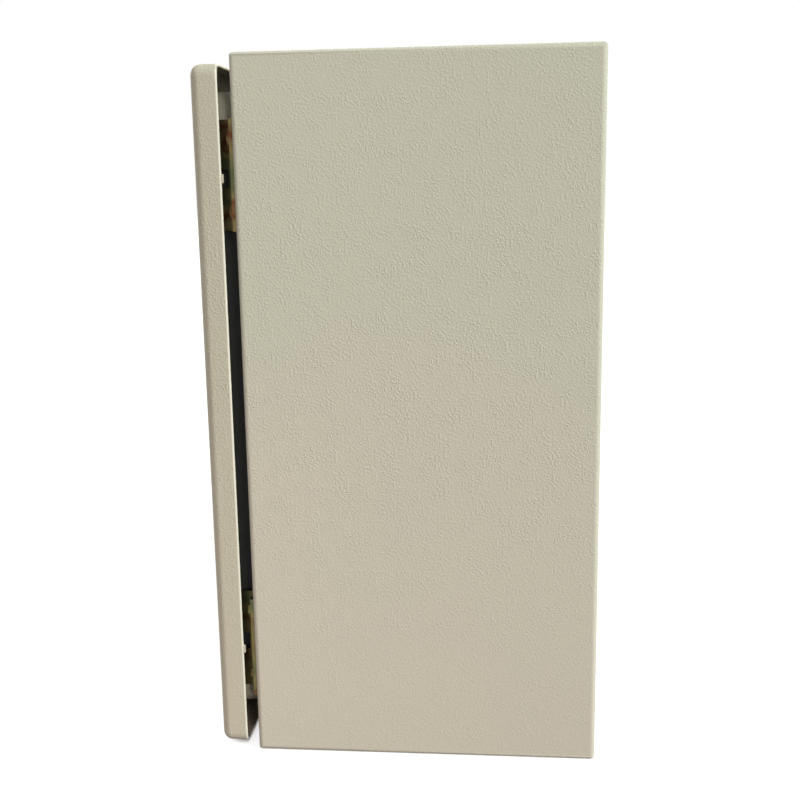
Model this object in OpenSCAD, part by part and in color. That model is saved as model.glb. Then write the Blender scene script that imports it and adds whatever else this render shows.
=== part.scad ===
// Wall-mount control cabinet of folded sheet steel, with its door, lock and control gear.
// Millimetres. X points right seen from the front, Y points to the wall, Z points up.
// The origin is the middle of the cabinet's footprint, on the surface that it stands on.

/* [Cabinet] */
// Width over the side walls
cabinet_w = 300; // [296:1:400]
// Height over the top and bottom
cabinet_h = 400; // [392:1:520]
// Depth of the body from the wall to the front flange
body_d = 198; // [170:1:260]
// Space between the body's front flange and the door's rim
door_gap = 7.7; // [7.5:0.1:8.4]
// Depth of the door's folded rim
door_rim = 15.2; // [14.5:0.1:16]
// How far the door stays inside the body's outline on each side
door_reveal = 3.5; // [3:0.1:3.8]
// How far the door hangs below the middle of the body
door_drop = 1.5; // [0:0.1:2]

/* [Sheet metal] */
// Sheet thickness of the body
body_sheet = 1.5; // [1.2:0.1:1.8]
// Outer bend radius of the body
body_bend_r = 3; // [2.5:0.1:4]
// Sheet thickness of the door
door_sheet = 1.5; // [1.2:0.1:1.6]
// Outer bend radius of the door
door_bend_r = 5.5; // [2.5:0.1:6]
// Corner radius of the door, seen from the front
door_corner_r = 6.5; // [6.2:0.1:9]
// Sheet thickness of the rear wall
rear_sheet = 1.5; // [1.2:0.1:2]
// Width of the folded return behind which the rear wall is welded
rear_return = 16; // [12:0.5:17]

/* [Front gutter and seal] */
// Width of the front flange, from the side wall to the inner face of the lip
flange_w = 22.5; // [22.4:0.1:24]
// Height of the sealing lip in front of the flange
lip_h = 10; // [8:0.1:11]
// Corner radius of the lip at mid-sheet
lip_corner_r = 12; // [9:0.5:16]
// Wall of the seal's gripping legs
seal_leg = 1.6; // [1.4:0.1:1.7]
// How far the seal's legs reach down the lip
seal_grip = 7; // [5:0.5:7.5]
// Width of the seal's bulb
seal_bulb_w = 7; // [6:0.1:7.4]
// Height of the corner patches that close the lip's corner joints
patch_h = 13.5; // [11:0.1:13.8]

/* [Hinges] */
// Height of a hinge's middle from the nearer end of the cabinet
hinge_end = 64; // [63.8:0.1:90]
// Distance of the hinge axis from the body's side
hinge_in = 9; // [8.8:0.1:9.2]
// Distance of the hinge axis in front of the flange
hinge_fwd = 12.5; // [12.3:0.1:12.8]
// Length of a hinge over its knuckles
hinge_l = 60; // [56:1:60]
// Length of the door leaf's middle knuckle
door_knuckle_l = 20; // [14:0.5:22]
// Outer radius of a knuckle
knuckle_r = 3; // [2.8:0.05:3.1]
// Radius of the hinge pin
pin_r = 1.5; // [1.4:0.05:1.7]
// Sheet thickness of the hinge leaves
leaf_sheet = 2; // [1.8:0.1:2.2]

/* [Lock] */
// Distance of the lock's axis from the body's side
lock_in = 45; // [44:0.5:50]
// Radius of the lock's threaded barrel
lock_barrel_r = 11; // [10:0.1:11.5]
// Radius of the lock's round head
lock_head_r = 14.5; // [14:0.1:16]
// Thickness of the lock's head
lock_head_t = 2.5; // [2:0.1:3]
// Reach of the cam from the lock's axis
cam_reach = 32; // [30:0.5:34]
// Thickness of the cam
cam_t = 2.5; // [2:0.1:2.8]

/* [Cable entry] */
// Width of the cable opening in the bottom
entry_w = 180; // [140:1:200]
// Depth of the cable opening in the bottom
entry_d = 80; // [60:1:84]
// Thickness of the gland plate
gland_t = 2; // [1.5:0.1:3]

/* [Mounting plate] */
// Thickness of the mounting plate
plate_t = 2; // [1.5:0.1:3]
// Space between the rear wall and the mounting plate
plate_standoff = 14; // [11:0.5:20]
// Length of the two rails
rail_l = 224; // [222:1:232]
// Height of the wiring ducts' channel
duct_h = 25; // [22:0.5:27]
// Depth of the wiring ducts in front of the plate
duct_d = 40; // [36:0.5:50]
// Pitch of the slots in the ducts
duct_pitch = 8; // [7:0.5:10]

/* [Wall fixing] */
// Distance of the wall holes from the sides, the top and the bottom
wall_hole_in = 25; // [22:0.5:30]
// Radius of the wall holes
wall_hole_r = 4.25; // [3.5:0.05:4.6]

/* [Hidden] */
$fn = 48;
PAINT = "#BEBAA9";
CHROMATE = "#B89A4A";
ZINC = "#B9BDC0";
BRASS = "#C9A24B";
EPDM = "#232423";
PLASTIC_GREY = "#8C9092";
PLASTIC_LIGHT = "#D5D6D2";
PLASTIC_BLUE = "#2F62A8";
PLASTIC_GREEN = "#6FA03A";
BLACK = "#2B2C2E";

// Tiny overlap for cuts that break through a face
cut = 0.5;
// Clearance of a pin that turns in its bore
run_clear = 0.05;
// Clearance round a screw or a stud
hole_clear = 0.25;
// Clearance between bodies that pass each other
pass_clear = 0.3;

// Places from front to back
lock_washer_t = 1;
lock_proud = lock_head_t + lock_washer_t;
y_rear = (body_d + door_gap + door_rim + lock_proud) / 2;
y_front = y_rear - body_d;
y_door = y_front - door_gap - door_rim;
door_in_u = door_gap + door_rim - door_sheet;
y_rear_in = y_rear - body_sheet - rear_sheet;
y_plate = y_rear_in - plate_standoff - plate_t;
door_w = cabinet_w - 2 * door_reveal;
door_h = cabinet_h - 2 * door_reveal;
hinge_zs = [hinge_end, cabinet_h - hinge_end];
lock_x = -cabinet_w / 2 + lock_in;
lock_z = cabinet_h / 2;

// Rows on the mounting plate, counted down from its top edge
plate_side_gap = 30;
plate_end_gap = 35;
plate_w = cabinet_w - 2 * plate_side_gap;
plate_h = cabinet_h - 2 * plate_end_gap;
plate_mid = cabinet_h / 2;
stud_r = 4;
stud_side_in = 12;
stud_end_in = 15;
stud_x = plate_w / 2 - stud_side_in;
stud_z = plate_h / 2 - stud_end_in;
row_clear = 55;
duct_edge = 4;
duct_l = 2 * (stud_x - 3 * stud_r);
top_duct_z = plate_mid + plate_h / 2 - duct_edge - duct_h;
upper_rail_z = top_duct_z - row_clear;
middle_duct_z = upper_rail_z - row_clear - duct_h;
lower_rail_z = middle_duct_z - row_clear;
bottom_duct_z = lower_rail_z - row_clear - duct_h;
rail_h = 7.5;
rail_w = 35;
rail_sheet = 1;
y_rail = y_plate - rail_h;

// Basic shapes

// A block between two corners
module block(low, high) {
  translate(low) cube(high - low);
}

// A rectangle with round corners, centred
module round_rect(w, h, r) {
  square([w - 2 * r, h], center = true);
  square([w, h - 2 * r], center = true);
  for (x = [-1, 1], y = [-1, 1]) translate([x * (w / 2 - r), y * (h / 2 - r)]) circle(r);
}

// A box with every edge rounded, centred
module round_box(size, r) {
  intersection() {
    linear_extrude(size.z, center = true) round_rect(size.x, size.y, r);
    rotate([90, 0, 0]) linear_extrude(size.y, center = true) round_rect(size.x, size.z, r);
    rotate([90, 0, 90]) linear_extrude(size.x, center = true) round_rect(size.y, size.z, r);
  }
}

// A profile carried round the corners of a rectangle; the profile's x points outwards, y up
module ring_corners(w, h, r) {
  for (turn = [0, 180]) rotate(turn) {
    translate([w / 2 - r, h / 2 - r, 0]) rotate_extrude(angle = 90) translate([r, 0]) children();
    rotate(90) translate([h / 2 - r, w / 2 - r, 0]) rotate_extrude(angle = 90) translate([r, 0]) children();
  }
}

// The same profile carried round the whole rectangle
module ring(w, h, r) {
  for (turn = [0, 180]) rotate(turn) {
    translate([w / 2, h / 2 - r, 0]) rotate([90, 0, 0]) linear_extrude(h - 2 * r) children();
    rotate(90) translate([h / 2, w / 2 - r, 0]) rotate([90, 0, 0]) linear_extrude(w - 2 * r) children();
  }
  ring_corners(w, h, r) children();
}

// Stands a ring on the front flange, so that its height points to the front
module on_flange() {
  translate([0, y_front, cabinet_h / 2]) rotate([90, 0, 0]) children();
}

// A round bar along Y from the front end to the rear end
module bar_y(x, z, r, front, rear) {
  translate([x, rear, z]) rotate([90, 0, 0]) cylinder(r = r, h = rear - front);
}

// A cone along Y
module cone_y(x, z, front_r, rear_r, front, rear) {
  translate([x, rear, z]) rotate([90, 0, 0]) cylinder(r1 = rear_r, r2 = front_r, h = rear - front);
}

// A hexagon along Y, sized across its flats
module hex_y(x, z, flats, front, rear) {
  translate([x, rear, z]) rotate([90, 0, 0]) cylinder(r = flats / sqrt(3), h = rear - front, $fn = 6);
}

// A nut on a bar along Y
module nut_y(x, z, flats, bore, front, rear) {
  difference() {
    hex_y(x, z, flats, front, rear);
    bar_y(x, z, bore, front - cut, rear + cut);
  }
}

// A flat profile along X: its x points to the front, its y points up
module along_x(x, width, y, z) {
  translate([x, y, z]) rotate([90, 0, 90]) linear_extrude(width) mirror([1, 0]) children();
}

// Body

frame_w = cabinet_w - 2 * body_bend_r;
frame_h = cabinet_h - 2 * body_bend_r;
lip_mid_w = cabinet_w - 2 * flange_w + body_sheet;
lip_mid_h = cabinet_h - 2 * flange_w + body_sheet;
patch_off = body_sheet / 2 + seal_leg + pass_clear;
screw_r = 2.5;
m6_r = 3;
m6_flats = 10;
m6_nut_t = 5;
hinge_screw_in = 11.5;
hinge_screw_end = 10;
hinge_screw_dz = hinge_l / 2 - hinge_screw_end;
gland_margin = 14;
entry_y = y_rear - body_d / 2;
gland_stud_x = entry_w / 2 + gland_margin / 2;
gland_stud_y = entry_d / 2 + gland_margin / 2;

// Places of the gland plate's studs
module at_gland_studs() {
  for (x = [-1, 0, 1], y = [-1, 1]) translate([x * gland_stud_x, entry_y + y * gland_stud_y, 0]) children();
}

// Places of the hinge screws, on the flange
module at_hinge_screws() {
  for (z = hinge_zs, s = [-1, 1])
    translate([cabinet_w / 2 - hinge_screw_in, y_front, z + s * hinge_screw_dz]) children();
}

// Folded wrap of sides, top and bottom, with the front bend and the rear return
module body_shell() {
  outer = [cabinet_w, body_d, cabinet_h];
  color(PAINT) difference() {
    translate([0, y_rear - body_d / 2, cabinet_h / 2]) difference() {
      round_box(outer, body_bend_r);
      round_box(outer - 2 * body_sheet * [1, 1, 1], body_bend_r - body_sheet);
    }
    translate([0, y_front, cabinet_h / 2]) cube([frame_w, 4 * body_sheet, frame_h], center = true);
    translate([0, y_rear, cabinet_h / 2])
      cube([cabinet_w - 2 * rear_return, 4 * body_sheet, cabinet_h - 2 * rear_return], center = true);
    translate([0, entry_y, 0]) cube([entry_w, entry_d, 4 * body_sheet], center = true);
  }
}

// Front frame, welded in the wrap's front bend: a flange with the sealing lip.
// A bent patch is welded over each of the lip's corner joints.
module front_frame() {
  color(PAINT) difference() {
    on_flange() {
      translate([0, 0, -body_sheet]) linear_extrude(body_sheet) difference() {
        square([frame_w, frame_h], center = true);
        round_rect(lip_mid_w, lip_mid_h, lip_corner_r);
      }
      ring(lip_mid_w, lip_mid_h, lip_corner_r)
        translate([-body_sheet / 2, -body_sheet]) square([body_sheet, lip_h + body_sheet]);
      ring_corners(lip_mid_w, lip_mid_h, lip_corner_r)
        translate([patch_off, -body_sheet]) square([body_sheet, patch_h + body_sheet]);
    }
    at_hinge_screws() bar_y(0, 0, screw_r + hole_clear, -cut, body_sheet + cut);
  }
}

// Rear wall, welded inside the return, with the four wall holes
module rear_wall() {
  color(PAINT) difference() {
    block([-cabinet_w / 2 + body_bend_r, y_rear_in, body_bend_r],
      [cabinet_w / 2 - body_bend_r, y_rear - body_sheet, cabinet_h - body_bend_r]);
    for (x = [-1, 1] * (cabinet_w / 2 - wall_hole_in), z = [wall_hole_in, cabinet_h - wall_hole_in])
      bar_y(x, z, wall_hole_r, y_rear_in - cut, y_rear);
  }
}

// Push-on seal: two legs that grip the lip, and a hollow bulb that meets the door
module door_seal() {
  bulb_r = seal_bulb_w / 2;
  bulb_mid = door_in_u - pass_clear - bulb_r;
  leg_in = body_sheet / 2;
  color(EPDM) on_flange() ring(lip_mid_w, lip_mid_h, lip_corner_r) difference() {
    union() {
      translate([-leg_in - seal_leg, lip_h - seal_grip])
        square([body_sheet + 2 * seal_leg, seal_grip + seal_leg]);
      translate([0, bulb_mid]) circle(bulb_r);
      translate([-leg_in - seal_leg, lip_h]) square([body_sheet + 2 * seal_leg, bulb_mid - lip_h]);
    }
    translate([-leg_in, lip_h - seal_grip - cut]) square([body_sheet, seal_grip + cut]);
    translate([0, bulb_mid]) circle(bulb_r - seal_leg);
  }
}

// Gland plate over the cable opening

gasket_t = 2;
stud_end = 2;

// A sheet with the holes of the gland studs, with or without the cable opening
module gland_sheet(low, thick, window) {
  difference() {
    translate([0, entry_y, low]) linear_extrude(thick) difference() {
      round_rect(entry_w + 2 * gland_margin, entry_d + 2 * gland_margin, gland_margin / 2);
      if (window) square([entry_w, entry_d], center = true);
    }
    at_gland_studs() translate([0, 0, low - cut]) cylinder(r = m6_r + hole_clear, h = thick + 2 * cut);
  }
}

module gland_gasket() {
  color(EPDM) gland_sheet(body_sheet, gasket_t, true);
}

module gland_plate() {
  color(PAINT) gland_sheet(body_sheet + gasket_t, gland_t, false);
}

module gland_studs() {
  color(ZINC) at_gland_studs() translate([0, 0, body_sheet])
    cylinder(r = m6_r, h = gasket_t + gland_t + m6_nut_t + stud_end);
}

module gland_nuts() {
  color(ZINC) at_gland_studs() translate([0, 0, body_sheet + gasket_t + gland_t]) difference() {
    cylinder(r = m6_flats / sqrt(3), h = m6_nut_t, $fn = 6);
    translate([0, 0, -cut]) cylinder(r = m6_r, h = m6_nut_t + 2 * cut);
  }
}

// Hinges

hinge_foot_out = 2.5;
web_clear = 4.2;
web_out = hinge_in + knuckle_r + web_clear;
web = [web_out, web_out + leaf_sheet];
knuckle_gap = 0.5;
arm_top = hinge_fwd + knuckle_r;
arm_u = [arm_top - leaf_sheet, arm_top];
hinge_half = hinge_l / 2;
tab_h = 5;
tab_back = 1.5;
tab_pass_u = 6.5;

// A block given by its distance from the body's side and its distance in front of the flange
module hinge_block(from_side, ahead, height) {
  block([cabinet_w / 2 - from_side[1], y_front - ahead[1], height[0]],
    [cabinet_w / 2 - from_side[0], y_front - ahead[0], height[1]]);
}

// A bar on the hinge axis
module hinge_bar(radius, height) {
  translate([cabinet_w / 2 - hinge_in, y_front - hinge_fwd, height[0]])
    cylinder(r = radius, h = height[1] - height[0]);
}

// Each hinge's middle, with its height pointing to the nearer end of the cabinet
module at_hinges() {
  for (i = [0, 1]) translate([0, 0, hinge_zs[i]]) mirror([0, 0, 1 - i]) children();
}

// Body leaf: a foot screwed to the flange, a web, and an arm to the knuckle at each end.
// A notch in the web lets the door's tab swing past.
module hinge_leaf(z) {
  inner = door_knuckle_l / 2 + knuckle_gap;
  color(CHROMATE) difference() {
    union() {
      hinge_block([hinge_foot_out, web[1]], [0, leaf_sheet], [z - hinge_half, z + hinge_half]);
      hinge_block(web, [0, arm_top], [z - hinge_half, z + hinge_half]);
      for (end = [[z - hinge_half, z - inner], [z + inner, z + hinge_half]]) {
        hinge_block([hinge_in, web[1]], arm_u, end);
        hinge_bar(knuckle_r, end);
      }
    }
    hinge_block([web[0] - cut, web[1] + cut], [tab_pass_u, arm_top + cut],
      [z - door_drop - tab_h, z - door_drop + tab_h]);
    hinge_bar(pin_r + run_clear, [z - hinge_half - cut, z + hinge_half + cut]);
    at_hinge_screws() bar_y(0, 0, screw_r + hole_clear, -leaf_sheet - cut, cut);
  }
}

pin_head_r = 2.6;
pin_head_t = 2;
pin_tail = 2.4;
clip_r = 3;
clip_t = 0.8;

// Pins with their heads at the ends that are nearer the cabinet's ends
module hinge_pins() {
  color(ZINC) at_hinges() {
    hinge_bar(pin_r, [-hinge_half - pin_tail, hinge_half]);
    hinge_bar(pin_head_r, [hinge_half, hinge_half + pin_head_t]);
  }
}

// Spring clips that keep the pins in
module pin_clips() {
  color(ZINC) at_hinges() difference() {
    hinge_bar(clip_r, [-hinge_half - clip_t, -hinge_half]);
    hinge_bar(pin_r, [-hinge_half - clip_t - cut, -hinge_half + cut]);
  }
}

door_foot_end = 10;
door_foot_in = 1;

// Door leaf: a foot welded inside the door, an ear and the middle knuckle
module door_leaf(z) {
  half = door_knuckle_l / 2;
  ear_in = hinge_in + knuckle_r;
  ear = [ear_in - leaf_sheet, ear_in];
  color(CHROMATE) difference() {
    union() {
      hinge_block([ear[0], web[0] + door_foot_in], [door_in_u - leaf_sheet, door_in_u],
        [z - half - door_foot_end, z + half + door_foot_end]);
      hinge_block(ear, [hinge_fwd, door_in_u], [z - half, z + half]);
      hinge_bar(knuckle_r, [z - half, z + half]);
    }
    hinge_bar(pin_r + run_clear, [z - half - cut, z + half + cut]);
  }
}

hinge_nut_t = 2.7;
hinge_nut_flats = 8;

// Pan-head screws, put in from inside the cabinet through the flange
module hinge_screws() {
  head_r = 4.2;
  head_t = 2.8;
  color(ZINC) at_hinge_screws() {
    bar_y(0, 0, head_r, body_sheet, body_sheet + head_t);
    bar_y(0, 0, screw_r, -leaf_sheet - hinge_nut_t, body_sheet);
  }
}

// Thin nuts welded to the body leaves' feet
module hinge_nuts() {
  color(CHROMATE) at_hinge_screws()
    nut_y(0, 0, hinge_nut_flats, screw_r, -leaf_sheet - hinge_nut_t, -leaf_sheet);
}

// Mounting plate and what holds it

plate_nut_t = 6.5;
plate_nut_flats = 13;
plate_washer_t = 1.6;
spacer_wall = 3;
rivet_x = duct_l / 4;
rivet_r = 2.5;

// Places of the mounting plate's studs
module at_plate_studs() {
  for (x = [-1, 1], z = [-1, 1]) translate([x * stud_x, 0, plate_mid + z * stud_z]) children();
}

// Places of the ducts' rivets
module at_duct_rivets() {
  for (x = [-1, 1] * rivet_x, z = [top_duct_z, middle_duct_z, bottom_duct_z])
    translate([x, y_plate, z + duct_h / 2]) children();
}

module plate_studs() {
  color(ZINC) at_plate_studs()
    bar_y(0, 0, stud_r, y_plate - plate_washer_t - plate_nut_t - stud_end, y_rear_in);
}

module plate_spacers() {
  color(ZINC) at_plate_studs() difference() {
    bar_y(0, 0, stud_r + spacer_wall, y_plate + plate_t, y_rear_in);
    bar_y(0, 0, stud_r + hole_clear, y_plate, y_rear_in + cut);
  }
}

// Flat plate with round corners and the holes of its studs, rail screws and rivets
module mounting_plate() {
  corner_r = 5;
  color(ZINC) difference() {
    translate([0, y_plate + plate_t, plate_mid]) rotate([90, 0, 0]) linear_extrude(plate_t)
      round_rect(plate_w, plate_h, corner_r);
    at_plate_studs() bar_y(0, 0, stud_r + 2 * hole_clear, y_plate - cut, y_plate + plate_t + cut);
    at_rail_screws() bar_y(0, 0, screw_r + hole_clear, -cut, plate_t + cut);
    at_duct_rivets() bar_y(0, 0, rivet_r + run_clear, -cut, plate_t + cut);
  }
}

module plate_washers() {
  color(ZINC) at_plate_studs() difference() {
    bar_y(0, 0, 2 * stud_r, y_plate - plate_washer_t, y_plate);
    bar_y(0, 0, stud_r + hole_clear, y_plate - plate_washer_t - cut, y_plate + cut);
  }
}

module plate_nuts() {
  color(ZINC) at_plate_studs()
    nut_y(0, 0, plate_nut_flats, stud_r, y_plate - plate_washer_t - plate_nut_t, y_plate - plate_washer_t);
}

// Earthing points

earth_side_in = 18;
earth_z = 40;
earth_l = 20;
earth_x = cabinet_w / 2 - earth_side_in;
door_earth_in = 60;
door_earth_l = 16;
door_earth_x = cabinet_w / 2 - door_earth_in;
y_door_in = y_door + door_sheet;

module earth_stud() {
  color(BRASS) bar_y(earth_x, earth_z, m6_r, y_rear_in - earth_l, y_rear_in);
}

module earth_nut() {
  color(ZINC) nut_y(earth_x, earth_z, m6_flats, m6_r, y_rear_in - m6_nut_t, y_rear_in);
}

module door_earth_stud() {
  color(BRASS) bar_y(door_earth_x, earth_z, m6_r, y_door_in, y_door_in + door_earth_l);
}

module door_earth_nut() {
  color(ZINC) nut_y(door_earth_x, earth_z, m6_flats, m6_r, y_door_in, y_door_in + m6_nut_t);
}

// Rails and ducts

rail_slot_pitch = 25;
rail_slot_l = 15;
rail_slot_h = 6.2;
rail_slots = 2 * floor(rail_l / 2 / rail_slot_pitch);
rail_screw_r = 4.6;
rail_screw_t = 3;
rail_screw_end = 4;

// Places of the rails' screws, in the outermost slots
module at_rail_screws() {
  for (x = [-1, 1], z = [upper_rail_z, lower_rail_z])
    translate([x * (rail_slots - 1) / 2 * rail_slot_pitch, y_plate, z]) children();
}

// Top-hat rail with slots along its base
module rail(z) {
  base_w = 27;
  color(ZINC) difference() {
    along_x(-rail_l / 2, rail_l, y_plate, z) {
      translate([0, -base_w / 2]) square([rail_sheet, base_w]);
      for (s = [0, 1]) mirror([0, s]) {
        translate([0, base_w / 2 - rail_sheet]) square([rail_h, rail_sheet]);
        translate([rail_h - rail_sheet, base_w / 2 - rail_sheet])
          square([rail_sheet, (rail_w - base_w) / 2 + rail_sheet]);
      }
    }
    for (i = [0 : rail_slots - 1])
      translate([(i - (rail_slots - 1) / 2) * rail_slot_pitch, y_plate, z]) rotate([90, 0, 0])
        linear_extrude(6 * rail_sheet, center = true) {
          square([rail_slot_l - rail_slot_h, rail_slot_h], center = true);
          for (s = [-1, 1]) translate([s * (rail_slot_l - rail_slot_h) / 2, 0]) circle(d = rail_slot_h);
        }
  }
}

module rail_screws() {
  color(ZINC) at_rail_screws() {
    bar_y(0, 0, rail_screw_r, -rail_sheet - rail_screw_t, -rail_sheet);
    bar_y(0, 0, screw_r, -rail_sheet, plate_t + rail_screw_end);
  }
}

duct_wall = 1.4;
duct_slot_w = 4.5;
duct_slot_low = 9;
cover_wall = 1.2;
cover_side = 6;
cover_clear = 0.3;
rivet_head_r = 4.5;
rivet_head_t = 1.5;
rivet_end = 3;

// Slotted wiring duct: a channel whose side walls are cut into fingers
module duct(z) {
  slots = floor((duct_l - duct_pitch) / duct_pitch);
  color(PLASTIC_GREY) difference() {
    along_x(-duct_l / 2, duct_l, y_plate, z) {
      square([duct_wall, duct_h]);
      for (low = [0, duct_h - duct_wall]) translate([0, low]) square([duct_d, duct_wall]);
    }
    for (i = [0 : slots - 1])
      translate([(i - (slots - 1) / 2) * duct_pitch - duct_slot_w / 2, y_plate - duct_d - cut, z - cut])
        cube([duct_slot_w, duct_d - duct_slot_low + cut, duct_h + 2 * cut]);
    at_duct_rivets() bar_y(0, 0, rivet_r + run_clear, -duct_wall - cut, cut);
  }
}

// Plastic rivets that hold the ducts to the plate
module duct_rivets() {
  color(BLACK) at_duct_rivets() {
    cone_y(0, 0, rivet_head_r - rivet_head_t / 2, rivet_head_r, -duct_wall - rivet_head_t, -duct_wall);
    bar_y(0, 0, rivet_r, -duct_wall, plate_t + rivet_end);
  }
}

// Cover that closes the duct's open front
module duct_cover(z) {
  out = cover_wall + cover_clear;
  color(PLASTIC_GREY) along_x(-duct_l / 2, duct_l, y_plate, z) {
    translate([duct_d, -out]) square([cover_wall, duct_h + 2 * out]);
    for (low = [-out, duct_h + cover_clear])
      translate([duct_d - cover_side, low]) square([cover_side + cover_wall, cover_wall]);
  }
}

// Gear on the rails: shapes that the housings share

rail_fit = 0.2;
hook = 4;
housing_edge = 1;
foot_w = 10;
foot_out = 3;
gear_gap = 0.5;

// A symmetric nose with bevelled front corners
module nose(deep, high, edge) {
  half = high / 2;
  polygon([[0, -half], [deep - edge, -half], [deep, edge - half], [deep, half - edge], [deep - edge, half],
    [0, half]]);
}

// Outline of a rail-mounted housing, with the recess that takes the rail
module rail_outline(high, deep) {
  difference() {
    translate([-hook, 0]) nose(deep + hook, high, housing_edge);
    translate([-hook - cut, -rail_w / 2 - rail_fit]) square([hook + cut, rail_w + 2 * rail_fit]);
  }
}

// Springy foot, moulded on the lower edge of a housing
module release_foot(mid, high, z) {
  along_x(mid - foot_w / 2, foot_w, y_rail, z)
    translate([-hook, -high / 2 - foot_out]) square([foot_out, foot_out + cut]);
}

// A row of round screw shafts, sunk in a face in front of the rail
module shaft_row(mid, z, count, pitch, r, face, deep) {
  for (i = [0 : count - 1])
    bar_y(mid + (i - (count - 1) / 2) * pitch, z, r, y_rail - face - cut, y_rail - face + deep);
}

// A row of wire entries in an upper or lower end face
module entry_row(mid, z, count, pitch, size, ahead) {
  for (i = [0 : count - 1])
    translate([mid + (i - (count - 1) / 2) * pitch, y_rail - ahead, z]) cube(size, center = true);
}

// Gear on the upper rail

clamp_w = 8;
gear_end = 2;
gear_left = -rail_l / 2 + gear_end;
pole_w = 17.5;
breaker_h = 85;
breaker_shoulder = 44;
breaker_nose = 58;
breaker_nose_h = 45;
breaker_step = 2.5;
breaker_edge = 1.5;
breaker_shaft_r = 3.2;
breaker_shaft_in = 9;
breaker_entry = [8, 9, 18];
breaker_entry_fwd = 24;
seam = 0.5;
toggle_r = 6.5;
toggle_fwd = 51;
toggle_tilt = 38;
toggle_reach = 15.5;
toggle_tip_r = 2.5;
toggle_root = 3.2;
toggle_w = 9;
toggle_swing = 4.5;
main_x = gear_left + clamp_w + gear_gap;
first_x = main_x + 2 * pole_w + gear_gap;
second_x = first_x + pole_w + gear_gap;

// Circuit breaker of one or more poles: stepped front, terminal shafts, a round slot for the toggle
module breaker(x, poles) {
  mid = x + poles * pole_w / 2;
  color(PLASTIC_LIGHT) difference() {
    union() {
      along_x(x, poles * pole_w, y_rail, upper_rail_z) {
        rail_outline(breaker_h, breaker_shoulder);
        nose(breaker_shoulder + breaker_step, breaker_nose_h + 2 * breaker_step, breaker_step);
        nose(breaker_nose, breaker_nose_h, breaker_edge);
      }
      release_foot(mid, breaker_h, upper_rail_z);
    }
    for (s = [-1, 1]) {
      shaft_row(mid, upper_rail_z + s * (breaker_h / 2 - breaker_shaft_in), poles, pole_w, breaker_shaft_r,
        breaker_shoulder, breaker_shaft_in);
      entry_row(mid, upper_rail_z + s * breaker_h / 2, poles, pole_w, breaker_entry, breaker_entry_fwd);
    }
    for (p = [0 : poles - 1]) if (p > 0)
      block([x + p * pole_w - seam / 2, y_rail - breaker_nose - cut, upper_rail_z - breaker_h],
        [x + p * pole_w + seam / 2, y_rail - breaker_nose + seam, upper_rail_z + breaker_h]);
    toggle_slot(mid, toggle_w + (poles - 1) * pole_w);
  }
}

// Slot that the toggle turns in
module toggle_slot(mid, width) {
  along_x(mid - width / 2 - pass_clear, width + 2 * pass_clear, y_rail, upper_rail_z)
    translate([toggle_fwd, 0]) {
      circle(toggle_r + pass_clear);
      translate([0, -toggle_r - toggle_swing]) square([toggle_reach, 2 * (toggle_r + toggle_swing)]);
    }
}

// Toggle at its upper stop: a drum with a tapered lever
module toggle(x, poles) {
  width = toggle_w + (poles - 1) * pole_w;
  tip = toggle_reach - toggle_tip_r;
  color(BLACK) along_x(x + poles * pole_w / 2 - width / 2, width, y_rail, upper_rail_z)
    translate([toggle_fwd, 0]) {
      circle(toggle_r);
      rotate(toggle_tilt) {
        polygon([[0, -toggle_root], [tip, -toggle_tip_r], [tip, toggle_tip_r], [0, toggle_root]]);
        translate([tip, 0]) circle(toggle_tip_r);
      }
    }
}

supply_w = 54;
supply_end = 12;
supply_x = rail_l / 2 - supply_end - supply_w;
logic_gap = 4;
logic_x = second_x + pole_w + gear_gap;
logic_w = supply_x - logic_gap - logic_x;
logic_h = 90;
logic_shoulder = 44;
logic_nose = 58;
logic_nose_h = 58;
logic_edge = 3;
logic_pitch = 8;
logic_ways = floor(logic_w / logic_pitch) - 1;
logic_shaft_r = 2.4;
logic_shaft_in = 8;
logic_entry = [5, 5, 16];
logic_entry_fwd = 34;
screen_side = 13;
screen_w = logic_w - 2 * screen_side;
screen_h = 26;
screen_t = 1.5;

// Logic module: a stepped housing with two terminal rows and a recess for its screen
module logic_module() {
  mid = logic_x + logic_w / 2;
  color(PLASTIC_GREY) difference() {
    union() {
      along_x(logic_x, logic_w, y_rail, upper_rail_z) {
        rail_outline(logic_h, logic_shoulder);
        nose(logic_nose, logic_nose_h, logic_edge);
      }
      for (s = [-1, 1]) release_foot(mid + s * logic_w / 4, logic_h, upper_rail_z);
    }
    for (s = [-1, 1]) {
      shaft_z = upper_rail_z + s * (logic_h / 2 - logic_shaft_in);
      shaft_row(mid, shaft_z, logic_ways, logic_pitch, logic_shaft_r, logic_shoulder, logic_shaft_in);
      entry_row(mid, upper_rail_z + s * logic_h / 2, logic_ways, logic_pitch, logic_entry, logic_entry_fwd);
    }
    screen_block(cut, 0);
  }
}

// Block of the screen, raised in front and held off the recess's sides
module screen_block(raise, off) {
  mid = logic_x + logic_w / 2;
  block([mid - screen_w / 2 + off, y_rail - logic_nose - raise, upper_rail_z - screen_h / 2 + off],
    [mid + screen_w / 2 - off, y_rail - logic_nose + screen_t, upper_rail_z + screen_h / 2 - off]);
}

module module_screen() {
  color(BLACK) screen_block(0, run_clear);
}

supply_h = 92;
supply_d = 58;
supply_step = 12;
supply_row = 14;
supply_edge = 3;
supply_ways = 5;
supply_pitch = 8;
supply_shaft_r = 2.6;
supply_shaft_in = 7;
vent_count = 7;
vent_pitch = 6;
vent_size = [3, 18, 12];
vent_fwd = 30;
trimmer_r = 2;
trimmer_z = 20;

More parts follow.
